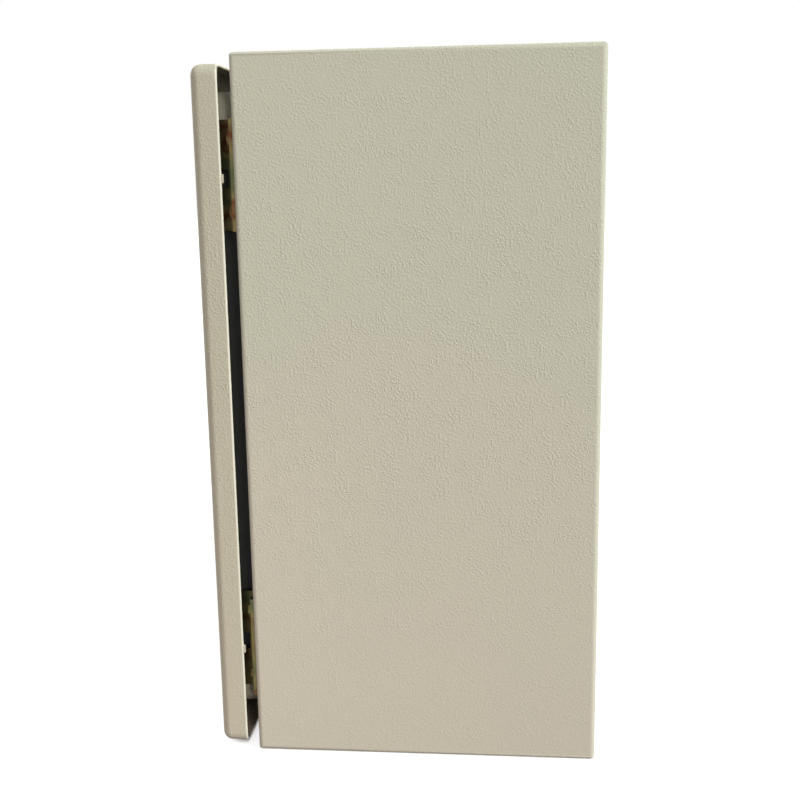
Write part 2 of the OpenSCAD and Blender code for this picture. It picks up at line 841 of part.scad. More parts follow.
// Power supply: a closed housing with vent slots, two rows of terminal shafts and a trimmer hole
module power_supply() {
  mid = supply_x + supply_w / 2;
  color(PLASTIC_GREY) difference() {
    union() {
      along_x(supply_x, supply_w, y_rail, upper_rail_z) {
        rail_outline(supply_h, supply_d - supply_step);
        nose(supply_d, supply_h - 2 * supply_row, supply_edge);
      }
      release_foot(mid, supply_h, upper_rail_z);
    }
    for (s = [-1, 1]) {
      entry_row(mid, upper_rail_z + s * supply_h / 2, vent_count, vent_pitch, vent_size, vent_fwd);
      shaft_row(mid, upper_rail_z + s * (supply_h / 2 - supply_shaft_in), supply_ways, supply_pitch,
        supply_shaft_r, supply_d - supply_step, supply_shaft_in);
    }
    shaft_row(mid, upper_rail_z + trimmer_z, 1, supply_pitch, trimmer_r, supply_d, supply_shaft_in);
  }
}

// Gear on the lower rail

contactor_w = 45;
contactor_x = gear_left + clamp_w + gear_gap;
contactor_mid = contactor_x + contactor_w / 2;
contactor_h = 76;
contactor_base = 40;
contactor_step = 60;
contactor_step_h = 56;
contactor_d = 74;
contactor_face_h = 34;
contactor_edge = 2;
contactor_poles = 4;
contactor_pitch = 10.5;
contactor_shaft_r = 3.4;
contactor_shaft_in = 5;
contactor_entry = [7, 9, 8];
contactor_entry_fwd = 52;
button_w = 10;
button_h = 16;
button_travel = 3;
button_depth = 14;
button_proud = 3.5;
button_clear = 0.3;

// Contactor: three steps of housing, terminal shafts, and the pocket of its indicator button
module contactor() {
  pocket = [button_w + 2 * button_clear, 2 * button_depth, button_h + 2 * button_clear];
  color(BLACK) difference() {
    union() {
      along_x(contactor_x, contactor_w, y_rail, lower_rail_z) {
        rail_outline(contactor_h, contactor_base);
        nose(contactor_step, contactor_step_h, contactor_edge);
        nose(contactor_d, contactor_face_h, contactor_edge);
      }
      release_foot(contactor_mid, contactor_h, lower_rail_z);
    }
    translate([contactor_mid, y_rail - contactor_d, lower_rail_z]) cube(pocket, center = true);
    for (s = [-1, 1]) {
      shaft_row(contactor_mid, lower_rail_z + s * (contactor_h / 2 - contactor_shaft_in), contactor_poles,
        contactor_pitch, contactor_shaft_r, contactor_base, 2 * contactor_shaft_in);
      entry_row(contactor_mid, lower_rail_z + s * contactor_step_h / 2, contactor_poles, contactor_pitch,
        contactor_entry, contactor_entry_fwd);
    }
  }
}

// Indicator button, at its outer stop
module contactor_button() {
  tail = button_depth - button_travel - button_clear;
  color(PLASTIC_LIGHT)
    block([contactor_mid - button_w / 2, y_rail - contactor_d - button_proud, lower_rail_z - button_h / 2],
      [contactor_mid + button_w / 2, y_rail - contactor_d + tail, lower_rail_z + button_h / 2]);
}

socket_w = 27;
socket_h = 78;
socket_base = 22;
socket_d = 30;
socket_face_h = 44;
socket_edge = 2;
socket_ways = 3;
socket_pitch = 7.5;
socket_shaft_r = 2.6;
socket_shaft_in = 8;
contactor_air = 4;
relay_x = contactor_x + contactor_w + contactor_air;
relay_size = [21, 36, 28];
relay_edge = 1.5;

// Middle of a relay place along the rail
function relay_mid(i) = relay_x + (i + 0.5) * socket_w - gear_gap / 2;

// Relay sockets: a stepped base with screw shafts at both ends
module relay_sockets() {
  color(BLACK) for (i = [0, 1]) difference() {
    union() {
      along_x(relay_x + i * socket_w, socket_w - gear_gap, y_rail, lower_rail_z) {
        rail_outline(socket_h, socket_base);
        nose(socket_d, socket_face_h, socket_edge);
      }
      release_foot(relay_mid(i), socket_h, lower_rail_z);
    }
    for (s = [-1, 1])
      shaft_row(relay_mid(i), lower_rail_z + s * (socket_h / 2 - socket_shaft_in), socket_ways, socket_pitch,
        socket_shaft_r, socket_base, socket_shaft_in);
  }
}

// Plug-in relay: a clear case on the socket, with rounded edges
module relay(i) {
  color(PLASTIC_LIGHT) translate([relay_mid(i), y_rail - socket_d - relay_size.y / 2, lower_rail_z])
    round_box(relay_size, relay_edge);
}

terminal_w = 5.2;
terminal_slit = 0.1;
grey_count = 8;
blue_count = 2;
earth_count = 2;
terminal_count = grey_count + blue_count + earth_count;
relay_air = 5;
terminal_x = relay_x + 2 * socket_w + relay_air;
terminal_h = 52;
terminal_base = 18;
terminal_mid = 36;
terminal_mid_h = 40;
terminal_top = 40;
terminal_top_h = 22;
terminal_edge = 3;
terminal_shaft_r = 1.8;
terminal_shaft_z = 15.5;
terminal_shaft_in = 14;
terminal_entry = [3, 4, 12];
terminal_entry_fwd = 25;

// Rail terminal: a shouldered outline with two screw shafts and two wire entries
module terminal(i) {
  x = terminal_x + i * terminal_w;
  mid = x + terminal_w / 2;
  difference() {
    along_x(x, terminal_w - terminal_slit, y_rail, lower_rail_z) {
      rail_outline(terminal_h, terminal_base);
      nose(terminal_mid, terminal_mid_h, terminal_edge);
      nose(terminal_top, terminal_top_h, terminal_edge);
    }
    for (s = [-1, 1]) {
      shaft_row(mid, lower_rail_z + s * terminal_shaft_z, 1, terminal_w, terminal_shaft_r, terminal_mid,
        terminal_shaft_in);
      entry_z = lower_rail_z + s * terminal_mid_h / 2;
      entry_row(mid, entry_z, 1, terminal_w, terminal_entry, terminal_entry_fwd);
    }
  }
}

module grey_terminals() {
  color(PLASTIC_GREY) for (i = [0 : grey_count - 1]) terminal(i);
}

module blue_terminals() {
  color(PLASTIC_BLUE) for (i = [0 : blue_count - 1]) terminal(grey_count + i);
}

module earth_terminals() {
  color(PLASTIC_GREEN) for (i = [0 : earth_count - 1]) terminal(grey_count + blue_count + i);
}

clamp_h = 44;
clamp_base = 14;
clamp_top = 30;
clamp_top_h = 26;
clamp_edge = 3;
clamp_screw_r = 2.4;
clamp_screw_in = 10;

// Clamps that keep the gear from sliding along the rails
module end_clamps() {
  last_x = terminal_x + terminal_count * terminal_w + gear_gap;
  places = [[gear_left, upper_rail_z], [gear_left, lower_rail_z], [last_x, lower_rail_z]];
  color(PLASTIC_GREY) for (p = places) difference() {
    along_x(p[0], clamp_w, y_rail, p[1]) {
      rail_outline(clamp_h, clamp_base);
      nose(clamp_top, clamp_top_h, clamp_edge);
    }
    shaft_row(p[0] + clamp_w / 2, p[1], 1, clamp_w, clamp_screw_r, clamp_top, clamp_screw_in);
  }
}

// Door

lock_hole_clear = 0.2;
lock_flat = 1;

// The lock's barrel, with a flat on each side that keeps it from turning in the door
module barrel(r, front, rear) {
  intersection() {
    bar_y(lock_x, lock_z, r, front, rear);
    block([lock_x - r + lock_flat, front, lock_z - r], [lock_x + r - lock_flat, rear, lock_z + r]);
  }
}

// Section of the door's rim: the bend from the front panel, then the rim up to its rear edge
module rim_section() {
  translate([-door_bend_r, door_bend_r]) intersection() {
    difference() {
      circle(door_bend_r);
      circle(door_bend_r - door_sheet);
    }
    translate([0, -door_bend_r]) square(door_bend_r);
  }
  translate([-door_sheet, door_bend_r]) square([door_sheet, door_rim - door_bend_r]);
}

// Pan-shaped door: a front panel, a folded rim, the lock's hole and a small tab at each hinge
module door_panel() {
  flat_w = door_w - 2 * door_bend_r;
  flat_h = door_h - 2 * door_bend_r;
  color(PAINT) difference() {
    union() {
      translate([0, y_door, cabinet_h / 2 - door_drop]) rotate([-90, 0, 0]) {
        linear_extrude(door_sheet) round_rect(flat_w, flat_h, door_corner_r - door_bend_r);
        ring(door_w, door_h, door_corner_r) rim_section();
      }
      for (z = hinge_zs)
        hinge_block([door_reveal, door_reveal + door_sheet], [door_gap - tab_back, door_gap],
          [z - door_drop - tab_h / 2, z - door_drop + tab_h / 2]);
    }
    barrel(lock_barrel_r + lock_hole_clear, y_door - cut, y_door_in + cut);
  }
}

// Lock

lock_core_r = 7;
lock_edge = 1;
lock_nut_t = 5;
lock_nut_wall = 2.5;
lock_washer_in = 0.5;
cam_clear = 1;
y_barrel = y_front + body_sheet + cam_clear;
y_head = y_door - lock_proud;
core_square = 8;

// Housing: a round head in front of the door and a barrel through it
module lock_housing() {
  color(ZINC) difference() {
    union() {
      cone_y(lock_x, lock_z, lock_head_r - lock_edge, lock_head_r, y_head, y_head + lock_edge);
      bar_y(lock_x, lock_z, lock_head_r, y_head + lock_edge, y_head + lock_head_t);
      barrel(lock_barrel_r, y_head + lock_edge, y_barrel);
    }
    bar_y(lock_x, lock_z, lock_core_r + run_clear, y_head - cut, y_barrel + cut);
  }
}

module lock_washer() {
  color(EPDM) difference() {
    bar_y(lock_x, lock_z, lock_head_r - lock_washer_in, y_door - lock_washer_t, y_door);
    barrel(lock_barrel_r + lock_hole_clear, y_door - lock_washer_t - cut, y_door + cut);
  }
}

module lock_nut() {
  color(ZINC) nut_y(lock_x, lock_z, 2 * (lock_barrel_r + lock_nut_wall), lock_barrel_r + run_clear, y_door_in,
    y_door_in + lock_nut_t);
}

socket_r = 4.7;
socket_depth = 9;
core_set = 0.4;
bit_set = 1.2;
bit_r = 1.6;
wing_set = 2.5;
wing_half = 0.8;

// Turning insert: a double-bit pin in a round socket, and a square end for the cam
module lock_insert() {
  half = core_square / 2;
  color(BLACK) {
    difference() {
      bar_y(lock_x, lock_z, lock_core_r, y_head + core_set, y_barrel);
      bar_y(lock_x, lock_z, socket_r, y_head, y_head + socket_depth);
    }
    bar_y(lock_x, lock_z, bit_r, y_head + bit_set, y_head + socket_depth);
    block([lock_x - socket_r, y_head + wing_set, lock_z - wing_half],
      [lock_x + socket_r, y_head + socket_depth, lock_z + wing_half]);
    block([lock_x - half, y_barrel, lock_z - half], [lock_x + half, y_barrel + cam_t, lock_z + half]);
  }
}

cam_w = 18;
cam_tail = 9;

// Flat cam with a round end, behind the flange; it points up when the lock is open
module lock_cam() {
  half = cam_w / 2;
  tip = lock_z + cam_reach - half;
  color(ZINC) difference() {
    union() {
      block([lock_x - half, y_barrel, lock_z - cam_tail], [lock_x + half, y_barrel + cam_t, tip]);
      bar_y(lock_x, tip, half, y_barrel, y_barrel + cam_t);
    }
    translate([lock_x, y_barrel, lock_z]) cube([core_square, 4 * cam_t, core_square], center = true);
  }
}

cam_screw_t = 2.5;

module cam_screw() {
  color(ZINC) hex_y(lock_x, lock_z, m6_flats, y_barrel + cam_t, y_barrel + cam_t + cam_screw_t);
}

body_shell();
front_frame();
rear_wall();
door_seal();
gland_gasket();
gland_plate();
gland_studs();
gland_nuts();
hinge_leaf(hinge_zs[1]);  // upper_hinge_leaf
hinge_leaf(hinge_zs[0]);  // lower_hinge_leaf
hinge_pins();
pin_clips();
hinge_screws();
hinge_nuts();
plate_studs();
plate_spacers();
mounting_plate();
plate_washers();
plate_nuts();
earth_stud();
earth_nut();
rail(upper_rail_z);  // upper_rail
rail(lower_rail_z);  // lower_rail
rail_screws();
duct(top_duct_z);  // top_duct
duct(middle_duct_z);  // middle_duct
duct(bottom_duct_z);  // bottom_duct
duct_rivets();
duct_cover(top_duct_z);  // top_duct_cover
duct_cover(middle_duct_z);  // middle_duct_cover
duct_cover(bottom_duct_z);  // bottom_duct_cover
breaker(main_x, 2);  // main_breaker
breaker(first_x, 1);  // first_breaker
breaker(second_x, 1);  // second_breaker
toggle(main_x, 2);  // main_toggle
toggle(first_x, 1);  // first_toggle
toggle(second_x, 1);  // second_toggle
logic_module();
module_screen();
power_supply();
contactor();
contactor_button();
relay_sockets();
relay(0);  // first_relay
relay(1);  // second_relay
grey_terminals();
blue_terminals();
earth_terminals();
end_clamps();
door_panel();
door_leaf(hinge_zs[1]);  // upper_door_leaf
door_leaf(hinge_zs[0]);  // lower_door_leaf
lock_housing();
lock_washer();
lock_nut();
lock_insert();
lock_cam();
cam_screw();
door_earth_stud();
door_earth_nut();
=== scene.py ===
import math
import bpy
import bmesh
from mathutils import Matrix, Vector


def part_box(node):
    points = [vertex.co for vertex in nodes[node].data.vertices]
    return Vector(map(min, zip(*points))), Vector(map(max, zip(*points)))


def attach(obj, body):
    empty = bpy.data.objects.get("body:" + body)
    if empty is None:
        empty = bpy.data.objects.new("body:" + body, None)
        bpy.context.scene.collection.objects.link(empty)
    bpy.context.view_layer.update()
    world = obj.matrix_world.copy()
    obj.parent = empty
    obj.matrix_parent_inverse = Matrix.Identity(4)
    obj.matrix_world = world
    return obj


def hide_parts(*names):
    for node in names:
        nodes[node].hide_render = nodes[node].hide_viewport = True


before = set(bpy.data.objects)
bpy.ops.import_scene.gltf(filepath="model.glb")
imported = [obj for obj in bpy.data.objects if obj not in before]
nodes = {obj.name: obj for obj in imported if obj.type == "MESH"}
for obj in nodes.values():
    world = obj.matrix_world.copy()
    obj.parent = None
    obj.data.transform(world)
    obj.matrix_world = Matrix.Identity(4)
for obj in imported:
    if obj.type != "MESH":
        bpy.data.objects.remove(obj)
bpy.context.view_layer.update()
# Sizes are written in millimetres, and MM turns them to metres
MM = 0.001


# Body: a wrap of folded sheet steel with a welded front frame and rear wall.
# All of it is coated together in a light grey-beige powder that bakes to an orange peel,
# and the coat rounds the sheet's cut edges.
BODY_HIGH_MM = 400
COAT_EDGE_MM = 0.5
WELD_MM = 0.002
FLAT_DEG = 0.5
EDGE_DEG = 40


def linear(code):
    parts = [int(code[i:i + 2], 16) / 255 for i in (1, 3, 5)]
    return [p / 12.92 if p <= 0.04045 else ((p + 0.055) / 1.055) ** 2.4 for p in parts] + [1.0]


# An input goes by its name, or by its number where a node has several of one name
def add_node(tree, kind, settings, links):
    node = tree.nodes.new(kind)
    for name, value in settings.items():
        if isinstance(name, int) or name in node.inputs:
            node.inputs[name].default_value = value
        else:
            setattr(node, name, value)
    for name, source in links.items():
        tree.links.new(source, node.inputs[name])
    return node


def new_material(name, base, roughness, metallic=0.0):
    material = bpy.data.materials.new(name)
    material.use_nodes = True
    shader = material.node_tree.nodes["Principled BSDF"]
    shader.inputs["Base Color"].default_value = linear(base)
    shader.inputs["Roughness"].default_value = roughness
    shader.inputs["Metallic"].default_value = metallic
    place = add_node(material.node_tree, "ShaderNodeTexCoord", {}, {}).outputs["Object"]
    return material, material.node_tree, shader, place


def dress(names, material, edge_mm, segments=2):
    for name in names:
        piece = nodes[name]
        piece.data.materials.clear()
        piece.data.materials.append(material)
        for face in piece.data.polygons:
            face.use_smooth = True
        weld = piece.modifiers.new("weld", "WELD")
        weld.merge_threshold = WELD_MM * MM
        flats = piece.modifiers.new("flats", "DECIMATE")
        flats.decimate_type = "DISSOLVE"
        flats.angle_limit = math.radians(FLAT_DEG)
        bevel = piece.modifiers.new("edge", "BEVEL")
        bevel.width = edge_mm * MM
        bevel.segments = segments
        bevel.limit_method = "ANGLE"
        bevel.angle_limit = math.radians(EDGE_DEG)
        piece.modifiers.new("shading", "WEIGHTED_NORMAL")


# Textured powder coat: matt, with rounded grains 1 to 2 mm apart that catch a low light on one side.
# The film is thin near the foot, so the grain is weaker there; the tint is painted warmer towards the
# foot as painted warm light from low down, and broad faint clouds make the tint uneven.
PEEL_MM = 1.25
FINE_PEEL_MM = 0.6
FINE_SHARE = 0.5
CLUMP_MM = 9
RELIEF_MM = 0.134
COAT_CLOUD_MM = 90
CLOUD_SHARE = 0.6
COAT_SHEEN = 0.1
FILM_ENDS = (0.38, 0.7)
FILM_BETWEEN = ((0.15, 0.45), (0.42, 0.95), (0.75, 1.0))
powder_coat, tree, shader, place = new_material("textured_powder_coat", "#BEBAA9", roughness=0.68)
shader.inputs["Specular IOR Level"].default_value = COAT_SHEEN
peel = add_node(tree, "ShaderNodeTexNoise", {"Scale": 1 / (PEEL_MM * MM), "Detail": 1.0},
                {"Vector": place})
fine = add_node(tree, "ShaderNodeTexNoise", {"Scale": 1 / (FINE_PEEL_MM * MM), "Detail": 1.0},
                {"Vector": place})
grains = add_node(tree, "ShaderNodeMapRange",
                  {"interpolation_type": "SMOOTHSTEP", "From Min": 0.40, "From Max": 0.72},
                  {"Value": peel.outputs["Fac"]})
height = add_node(tree, "ShaderNodeMath", {"operation": "MULTIPLY_ADD", 1: FINE_SHARE},
                  {0: fine.outputs["Fac"], 2: grains.outputs[0]})
up = add_node(tree, "ShaderNodeSeparateXYZ", {}, {0: place})
share = add_node(tree, "ShaderNodeMath", {"operation": "DIVIDE", 1: BODY_HIGH_MM * MM},
                 {0: up.outputs["Z"]})
film = add_node(tree, "ShaderNodeValToRGB", {}, {"Fac": share.outputs[0]})
for end, level in zip(film.color_ramp.elements, FILM_ENDS):
    end.color = (level, level, level, 1)
for spot, level in FILM_BETWEEN:
    film.color_ramp.elements.new(spot).color = (level, level, level, 1)
clump = add_node(tree, "ShaderNodeTexNoise", {"Scale": 1 / (CLUMP_MM * MM), "Detail": 1.0},
                 {"Vector": place})
uneven = add_node(tree, "ShaderNodeMapRange",
                  {"From Min": 0.3, "From Max": 0.7, "To Min": 0.55, "To Max": 1.3},
                  {"Value": clump.outputs["Fac"]})
strength = add_node(tree, "ShaderNodeMath", {"operation": "MULTIPLY"},
                    {0: film.outputs["Color"], 1: uneven.outputs[0]})
relief = add_node(tree, "ShaderNodeMath", {"operation": "MULTIPLY"},
                  {0: height.outputs[0], 1: strength.outputs[0]})
bump = add_node(tree, "ShaderNodeBump", {"Strength": 1.0, "Distance": RELIEF_MM * MM},
                {"Height": relief.outputs[0]})
tree.links.new(bump.outputs["Normal"], shader.inputs["Normal"])
cloud = add_node(tree, "ShaderNodeTexNoise", {"Scale": 1 / (COAT_CLOUD_MM * MM), "Detail": 2.0},
                 {"Vector": place})
# Painted warm light: the tint leans warmer towards the foot of the body
painted_low_warmth = add_node(tree, "ShaderNodeMapRange", {"From Max": 0.7, "To Min": 0.7, "To Max": 0.15},
                    {"Value": share.outputs[0]})
warmth = add_node(tree, "ShaderNodeMath",
                  {"operation": "MULTIPLY_ADD", 1: CLOUD_SHARE, "use_clamp": True},
                  {0: cloud.outputs["Fac"], 2: painted_low_warmth.outputs[0]})
coat_tint = add_node(tree, "ShaderNodeMix",
                     {"data_type": "RGBA", 6: linear("#B9BBAA"), 7: linear("#C3BBAD")},
                     {0: warmth.outputs[0]})
tree.links.new(coat_tint.outputs[2], shader.inputs["Base Color"])
gloss = add_node(tree, "ShaderNodeMapRange", {"To Min": 0.6, "To Max": 0.75},
                 {"Value": peel.outputs["Fac"]})
tree.links.new(gloss.outputs[0], shader.inputs["Roughness"])
dress(["body_shell", "front_frame", "rear_wall", "gland_plate"], powder_coat, COAT_EDGE_MM, segments=3)


# Seals: extruded rubber, pushed on the lip round the opening, and a flat gasket under the gland plate.
# A washer cut from the same rubber seals the lock.
BLOOM_MM = 6
SEAL_EDGE_MM = 0.3
# Extruded rubber: matt and nearly black, with faint grey streaks of bloom
rubber, tree, shader, place = new_material("extruded_epdm", "#232524", roughness=0.62)
bloom = add_node(tree, "ShaderNodeTexNoise", {"Scale": 1 / (BLOOM_MM * MM), "Detail": 4.0},
                 {"Vector": place})
dust = add_node(tree, "ShaderNodeMix",
                {"data_type": "RGBA", 6: linear("#1D1F1F"), 7: linear("#313433")},
                {0: bloom.outputs["Fac"]})
tree.links.new(dust.outputs[2], shader.inputs["Base Color"])
dull = add_node(tree, "ShaderNodeMapRange", {"To Min": 0.5, "To Max": 0.75},
                {"Value": bloom.outputs["Fac"]})
tree.links.new(dull.outputs[0], shader.inputs["Roughness"])
dress(["door_seal", "gland_gasket", "lock_washer"], rubber, SEAL_EDGE_MM)


# Fasteners: steel screws, nuts, studs, pins and rails with bright zinc plating.
# Most are plated loose in a barrel, which leaves the film a little uneven.
PLATING_MM = 3
PIN_EDGE_MM = 0.2
NUT_EDGE_MM = 0.5
RAIL_EDGE_MM = 0.25
# Bright zinc plate: a bluish metal with cloudy patches of more and less shine
zinc, tree, shader, place = new_material("bright_zinc_plate", "#A3A7AA", roughness=0.32, metallic=1.0)
patch = add_node(tree, "ShaderNodeTexNoise", {"Scale": 1 / (PLATING_MM * MM), "Detail": 3.0},
                 {"Vector": place})
shade = add_node(tree, "ShaderNodeMix",
                 {"data_type": "RGBA", 6: linear("#92979B"), 7: linear("#B4B6B5")},
                 {0: patch.outputs["Fac"]})
tree.links.new(shade.outputs[2], shader.inputs["Base Color"])
dull = add_node(tree, "ShaderNodeMapRange", {"To Min": 0.22, "To Max": 0.42},
                {"Value": patch.outputs["Fac"]})
tree.links.new(dull.outputs[0], shader.inputs["Roughness"])
dress(["hinge_pins", "pin_clips", "hinge_screws", "plate_spacers", "plate_washers", "lock_cam"],
      zinc, PIN_EDGE_MM)
dress(["gland_nuts", "plate_nuts", "earth_nut", "door_earth_nut", "lock_nut", "cam_screw"],
      zinc, NUT_EDGE_MM)
dress(["upper_rail", "lower_rail"], zinc, RAIL_EDGE_MM)


# Threaded studs: welded to the bottom, the rear wall and the door, with the nuts on them.
# The M6 and M8 threads are rolled, and the earthing studs are coated in brass.
MERGE_MM = 0.001
SHARP_DEG = 35
ROUND_STEPS = 20
THREAD_DEEP = 0.61
STUD_TIP = 0.85
M6_RADIUS = 3
M6_PITCH = 1.0
M8_RADIUS = 4
M8_PITCH = 1.25
BOTTOM_INSIDE_Z = 1.5
REAR_INSIDE_Y = 109.2
DOOR_INSIDE_Y = -107.2
GLAND_STUD_X = (-97, 0, 97)
GLAND_STUD_Y = (-33.8, 60.2)
GLAND_STUD_LONG = 11
PLATE_STUD_X = (-108, 108)
PLATE_STUD_Z = (50, 350)
PLATE_STUD_LONG = 26.1
EARTH_Z = 40
EARTH_X = 132
EARTH_LONG = 20
DOOR_EARTH_X = 90
DOOR_EARTH_LONG = 16
TO_FRONT = Matrix.Rotation(math.radians(90), 4, "X")
TO_REAR = Matrix.Rotation(math.radians(-90), 4, "X")
UPWARDS = Matrix.Identity(4)


def new_piece(name, shape, materials, body, replaced=()):
    bmesh.ops.remove_doubles(shape, verts=shape.verts, dist=MERGE_MM * MM)
    bmesh.ops.recalc_face_normals(shape, faces=shape.faces)
    mesh = bpy.data.meshes.new(name)
    shape.to_mesh(mesh)
    shape.free()
    for material in materials:
        mesh.materials.append(material)
    for face in mesh.polygons:
        face.use_smooth = True
    mesh.set_sharp_from_angle(angle=math.radians(SHARP_DEG))
    piece = bpy.data.objects.new(name, mesh)
    bpy.context.scene.collection.objects.link(piece)
    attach(piece, body)
    if replaced:
        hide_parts(*replaced)
    return piece


def put(shape, known, turn, spot):
    fresh = [v for v in shape.verts if v not in known]
    bmesh.ops.transform(shape, matrix=Matrix.Translation(Vector(spot) * MM) @ turn, verts=fresh)


def add_spun(shape, profile, steps, turn, spot):
    known = set(shape.verts)
    chain = [shape.verts.new((r * MM, 0, h * MM)) for r, h in profile]
    links = [shape.edges.new(pair) for pair in zip(chain, chain[1:])]
    bmesh.ops.spin(shape, geom=chain + links, cent=(0, 0, 0), axis=(0, 0, 1), angle=math.tau,
                   steps=steps, use_merge=True)
    put(shape, known, turn, spot)


def add_stud(shape, radius, pitch, length, turn, spot):
    core = radius - THREAD_DEEP * pitch
    profile = [(0, 0), (core, 0)]
    for k in range(int(length / pitch) - 1):
        profile += [(radius, (k + 0.5) * pitch), (core, (k + 1) * pitch)]
    profile += [(core * STUD_TIP, length), (0, length)]
    add_spun(shape, profile, ROUND_STEPS, turn, spot)


shape = bmesh.new()
for x in GLAND_STUD_X:
    for y in GLAND_STUD_Y:
        add_stud(shape, M6_RADIUS, M6_PITCH, GLAND_STUD_LONG, UPWARDS, (x, y, BOTTOM_INSIDE_Z))
new_piece("gland_studs_threaded", shape, [zinc], "cabinet", ["gland_studs"])
shape = bmesh.new()
for x in PLATE_STUD_X:
    for z in PLATE_STUD_Z:
        add_stud(shape, M8_RADIUS, M8_PITCH, PLATE_STUD_LONG, TO_FRONT, (x, REAR_INSIDE_Y, z))
new_piece("plate_studs_threaded", shape, [zinc], "cabinet", ["plate_studs"])

# Brass coat: a warm yellow metal, browner where it has tarnished
brass, tree, shader, place = new_material("brass_coat", "#C4A052", roughness=0.3, metallic=1.0)
tarnish = add_node(tree, "ShaderNodeTexNoise", {"Scale": 1 / (PLATING_MM * MM), "Detail": 3.0},
                   {"Vector": place})
shade = add_node(tree, "ShaderNodeMix",
                 {"data_type": "RGBA", 6: linear("#A98845"), 7: linear("#D0AF63")},
                 {0: tarnish.outputs["Fac"]})
tree.links.new(shade.outputs[2], shader.inputs["Base Color"])
shape = bmesh.new()
add_stud(shape, M6_RADIUS, M6_PITCH, EARTH_LONG, TO_FRONT, (EARTH_X, REAR_INSIDE_Y, EARTH_Z))
new_piece("earth_stud_threaded", shape, [brass], "cabinet", ["earth_stud"])
shape = bmesh.new()
add_stud(shape, M6_RADIUS, M6_PITCH, DOOR_EARTH_LONG, TO_REAR, (DOOR_EARTH_X, DOOR_INSIDE_Y, EARTH_Z))
new_piece("door_earth_stud_threaded", shape, [brass], "door", ["door_earth_stud"])


# Hinges: folded steel leaves on pins, screwed to the body and welded to the door.
# The leaves and their nuts are zinc-plated and dipped in an olive-yellow chromate.
FILM_MM = 30
LEAF_EDGE_MM = 0.35
LEAF_NUT_EDGE_MM = 0.4
SHADED_CHROMATE_ENDS = ((0.30, "#57543A"), (0.72, "#7D7552"))
SHADED_CHROMATE_BANDS = ((0.41, "#4C5138"), (0.49, "#6A623F"), (0.55, "#5F5437"), (0.59, "#542F20"),
                  (0.64, "#635939"))
# Olive-yellow chromate: a thin film on metal whose thickness varies, so it shows green, red and brown;
# all its colours are also painted dark, as painted shade for the hinges deep in the gap
chromate, tree, shader, place = new_material("olive_yellow_chromate", "#7A6A38", roughness=0.38,
                                             metallic=1.0)
film = add_node(tree, "ShaderNodeTexNoise",
                {"Scale": 1 / (FILM_MM * MM), "Detail": 2.0, "Distortion": 0.6}, {"Vector": place})
bands = add_node(tree, "ShaderNodeValToRGB", {}, {"Fac": film.outputs["Fac"]})
for end, (spot, code) in zip(bands.color_ramp.elements, SHADED_CHROMATE_ENDS):
    end.position = spot
    end.color = linear(code)
for spot, code in SHADED_CHROMATE_BANDS:
    bands.color_ramp.elements.new(spot).color = linear(code)
tree.links.new(bands.outputs["Color"], shader.inputs["Base Color"])
dress(["upper_hinge_leaf", "lower_hinge_leaf", "upper_door_leaf", "lower_door_leaf"],
      chromate, LEAF_EDGE_MM)
dress(["hinge_nuts"], chromate, LEAF_NUT_EDGE_MM)


# Mounting plate: a flat sheet of hot-dip galvanised steel that carries all the control gear.
# It stands on spacers on the rear wall's studs, and nuts with washers hold it.
SPANGLE_MM = 9
PLATE_EDGE_MM = 0.25
# Galvanised sheet: a grey metal with the flower-like spangle of zinc crystals, each with its own shine
galvanised, tree, shader, place = new_material("galvanised_sheet", "#B4B9BC", roughness=0.38,
                                               metallic=1.0)
flowers = add_node(tree, "ShaderNodeTexVoronoi", {"Scale": 1 / (SPANGLE_MM * MM)}, {"Vector": place})
shade = add_node(tree, "ShaderNodeMix",
                 {"data_type": "RGBA", 6: linear("#A5ABAF"), 7: linear("#C3C7C8")},
                 {0: flowers.outputs["Color"]})
tree.links.new(shade.outputs[2], shader.inputs["Base Color"])
dull = add_node(tree, "ShaderNodeMapRange", {"To Min": 0.28, "To Max": 0.5},
                {"Value": flowers.outputs["Color"]})
tree.links.new(dull.outputs[0], shader.inputs["Roughness"])
dress(["mounting_plate"], galvanised, PLATE_EDGE_MM)


# Rail screws: zinc-plated steel with pan heads and a pressed cross recess.
# They go through the outermost slots of both rails into the mounting plate.
UPPER_Z = 281
LOWER_Z = 146
PLATE_Y = 93.2
HEAD_STEPS = 16
ARM_SHARE = 0.16
REACH_SHARE = 0.68
RECESS_SHARE = 0.4
RAIL_SCREW_X = (-87.5, 87.5)
RAIL_SCREW_RADIUS = 4.6
RAIL_SCREW_TALL = 3
RAIL_SCREW_OUT = 4


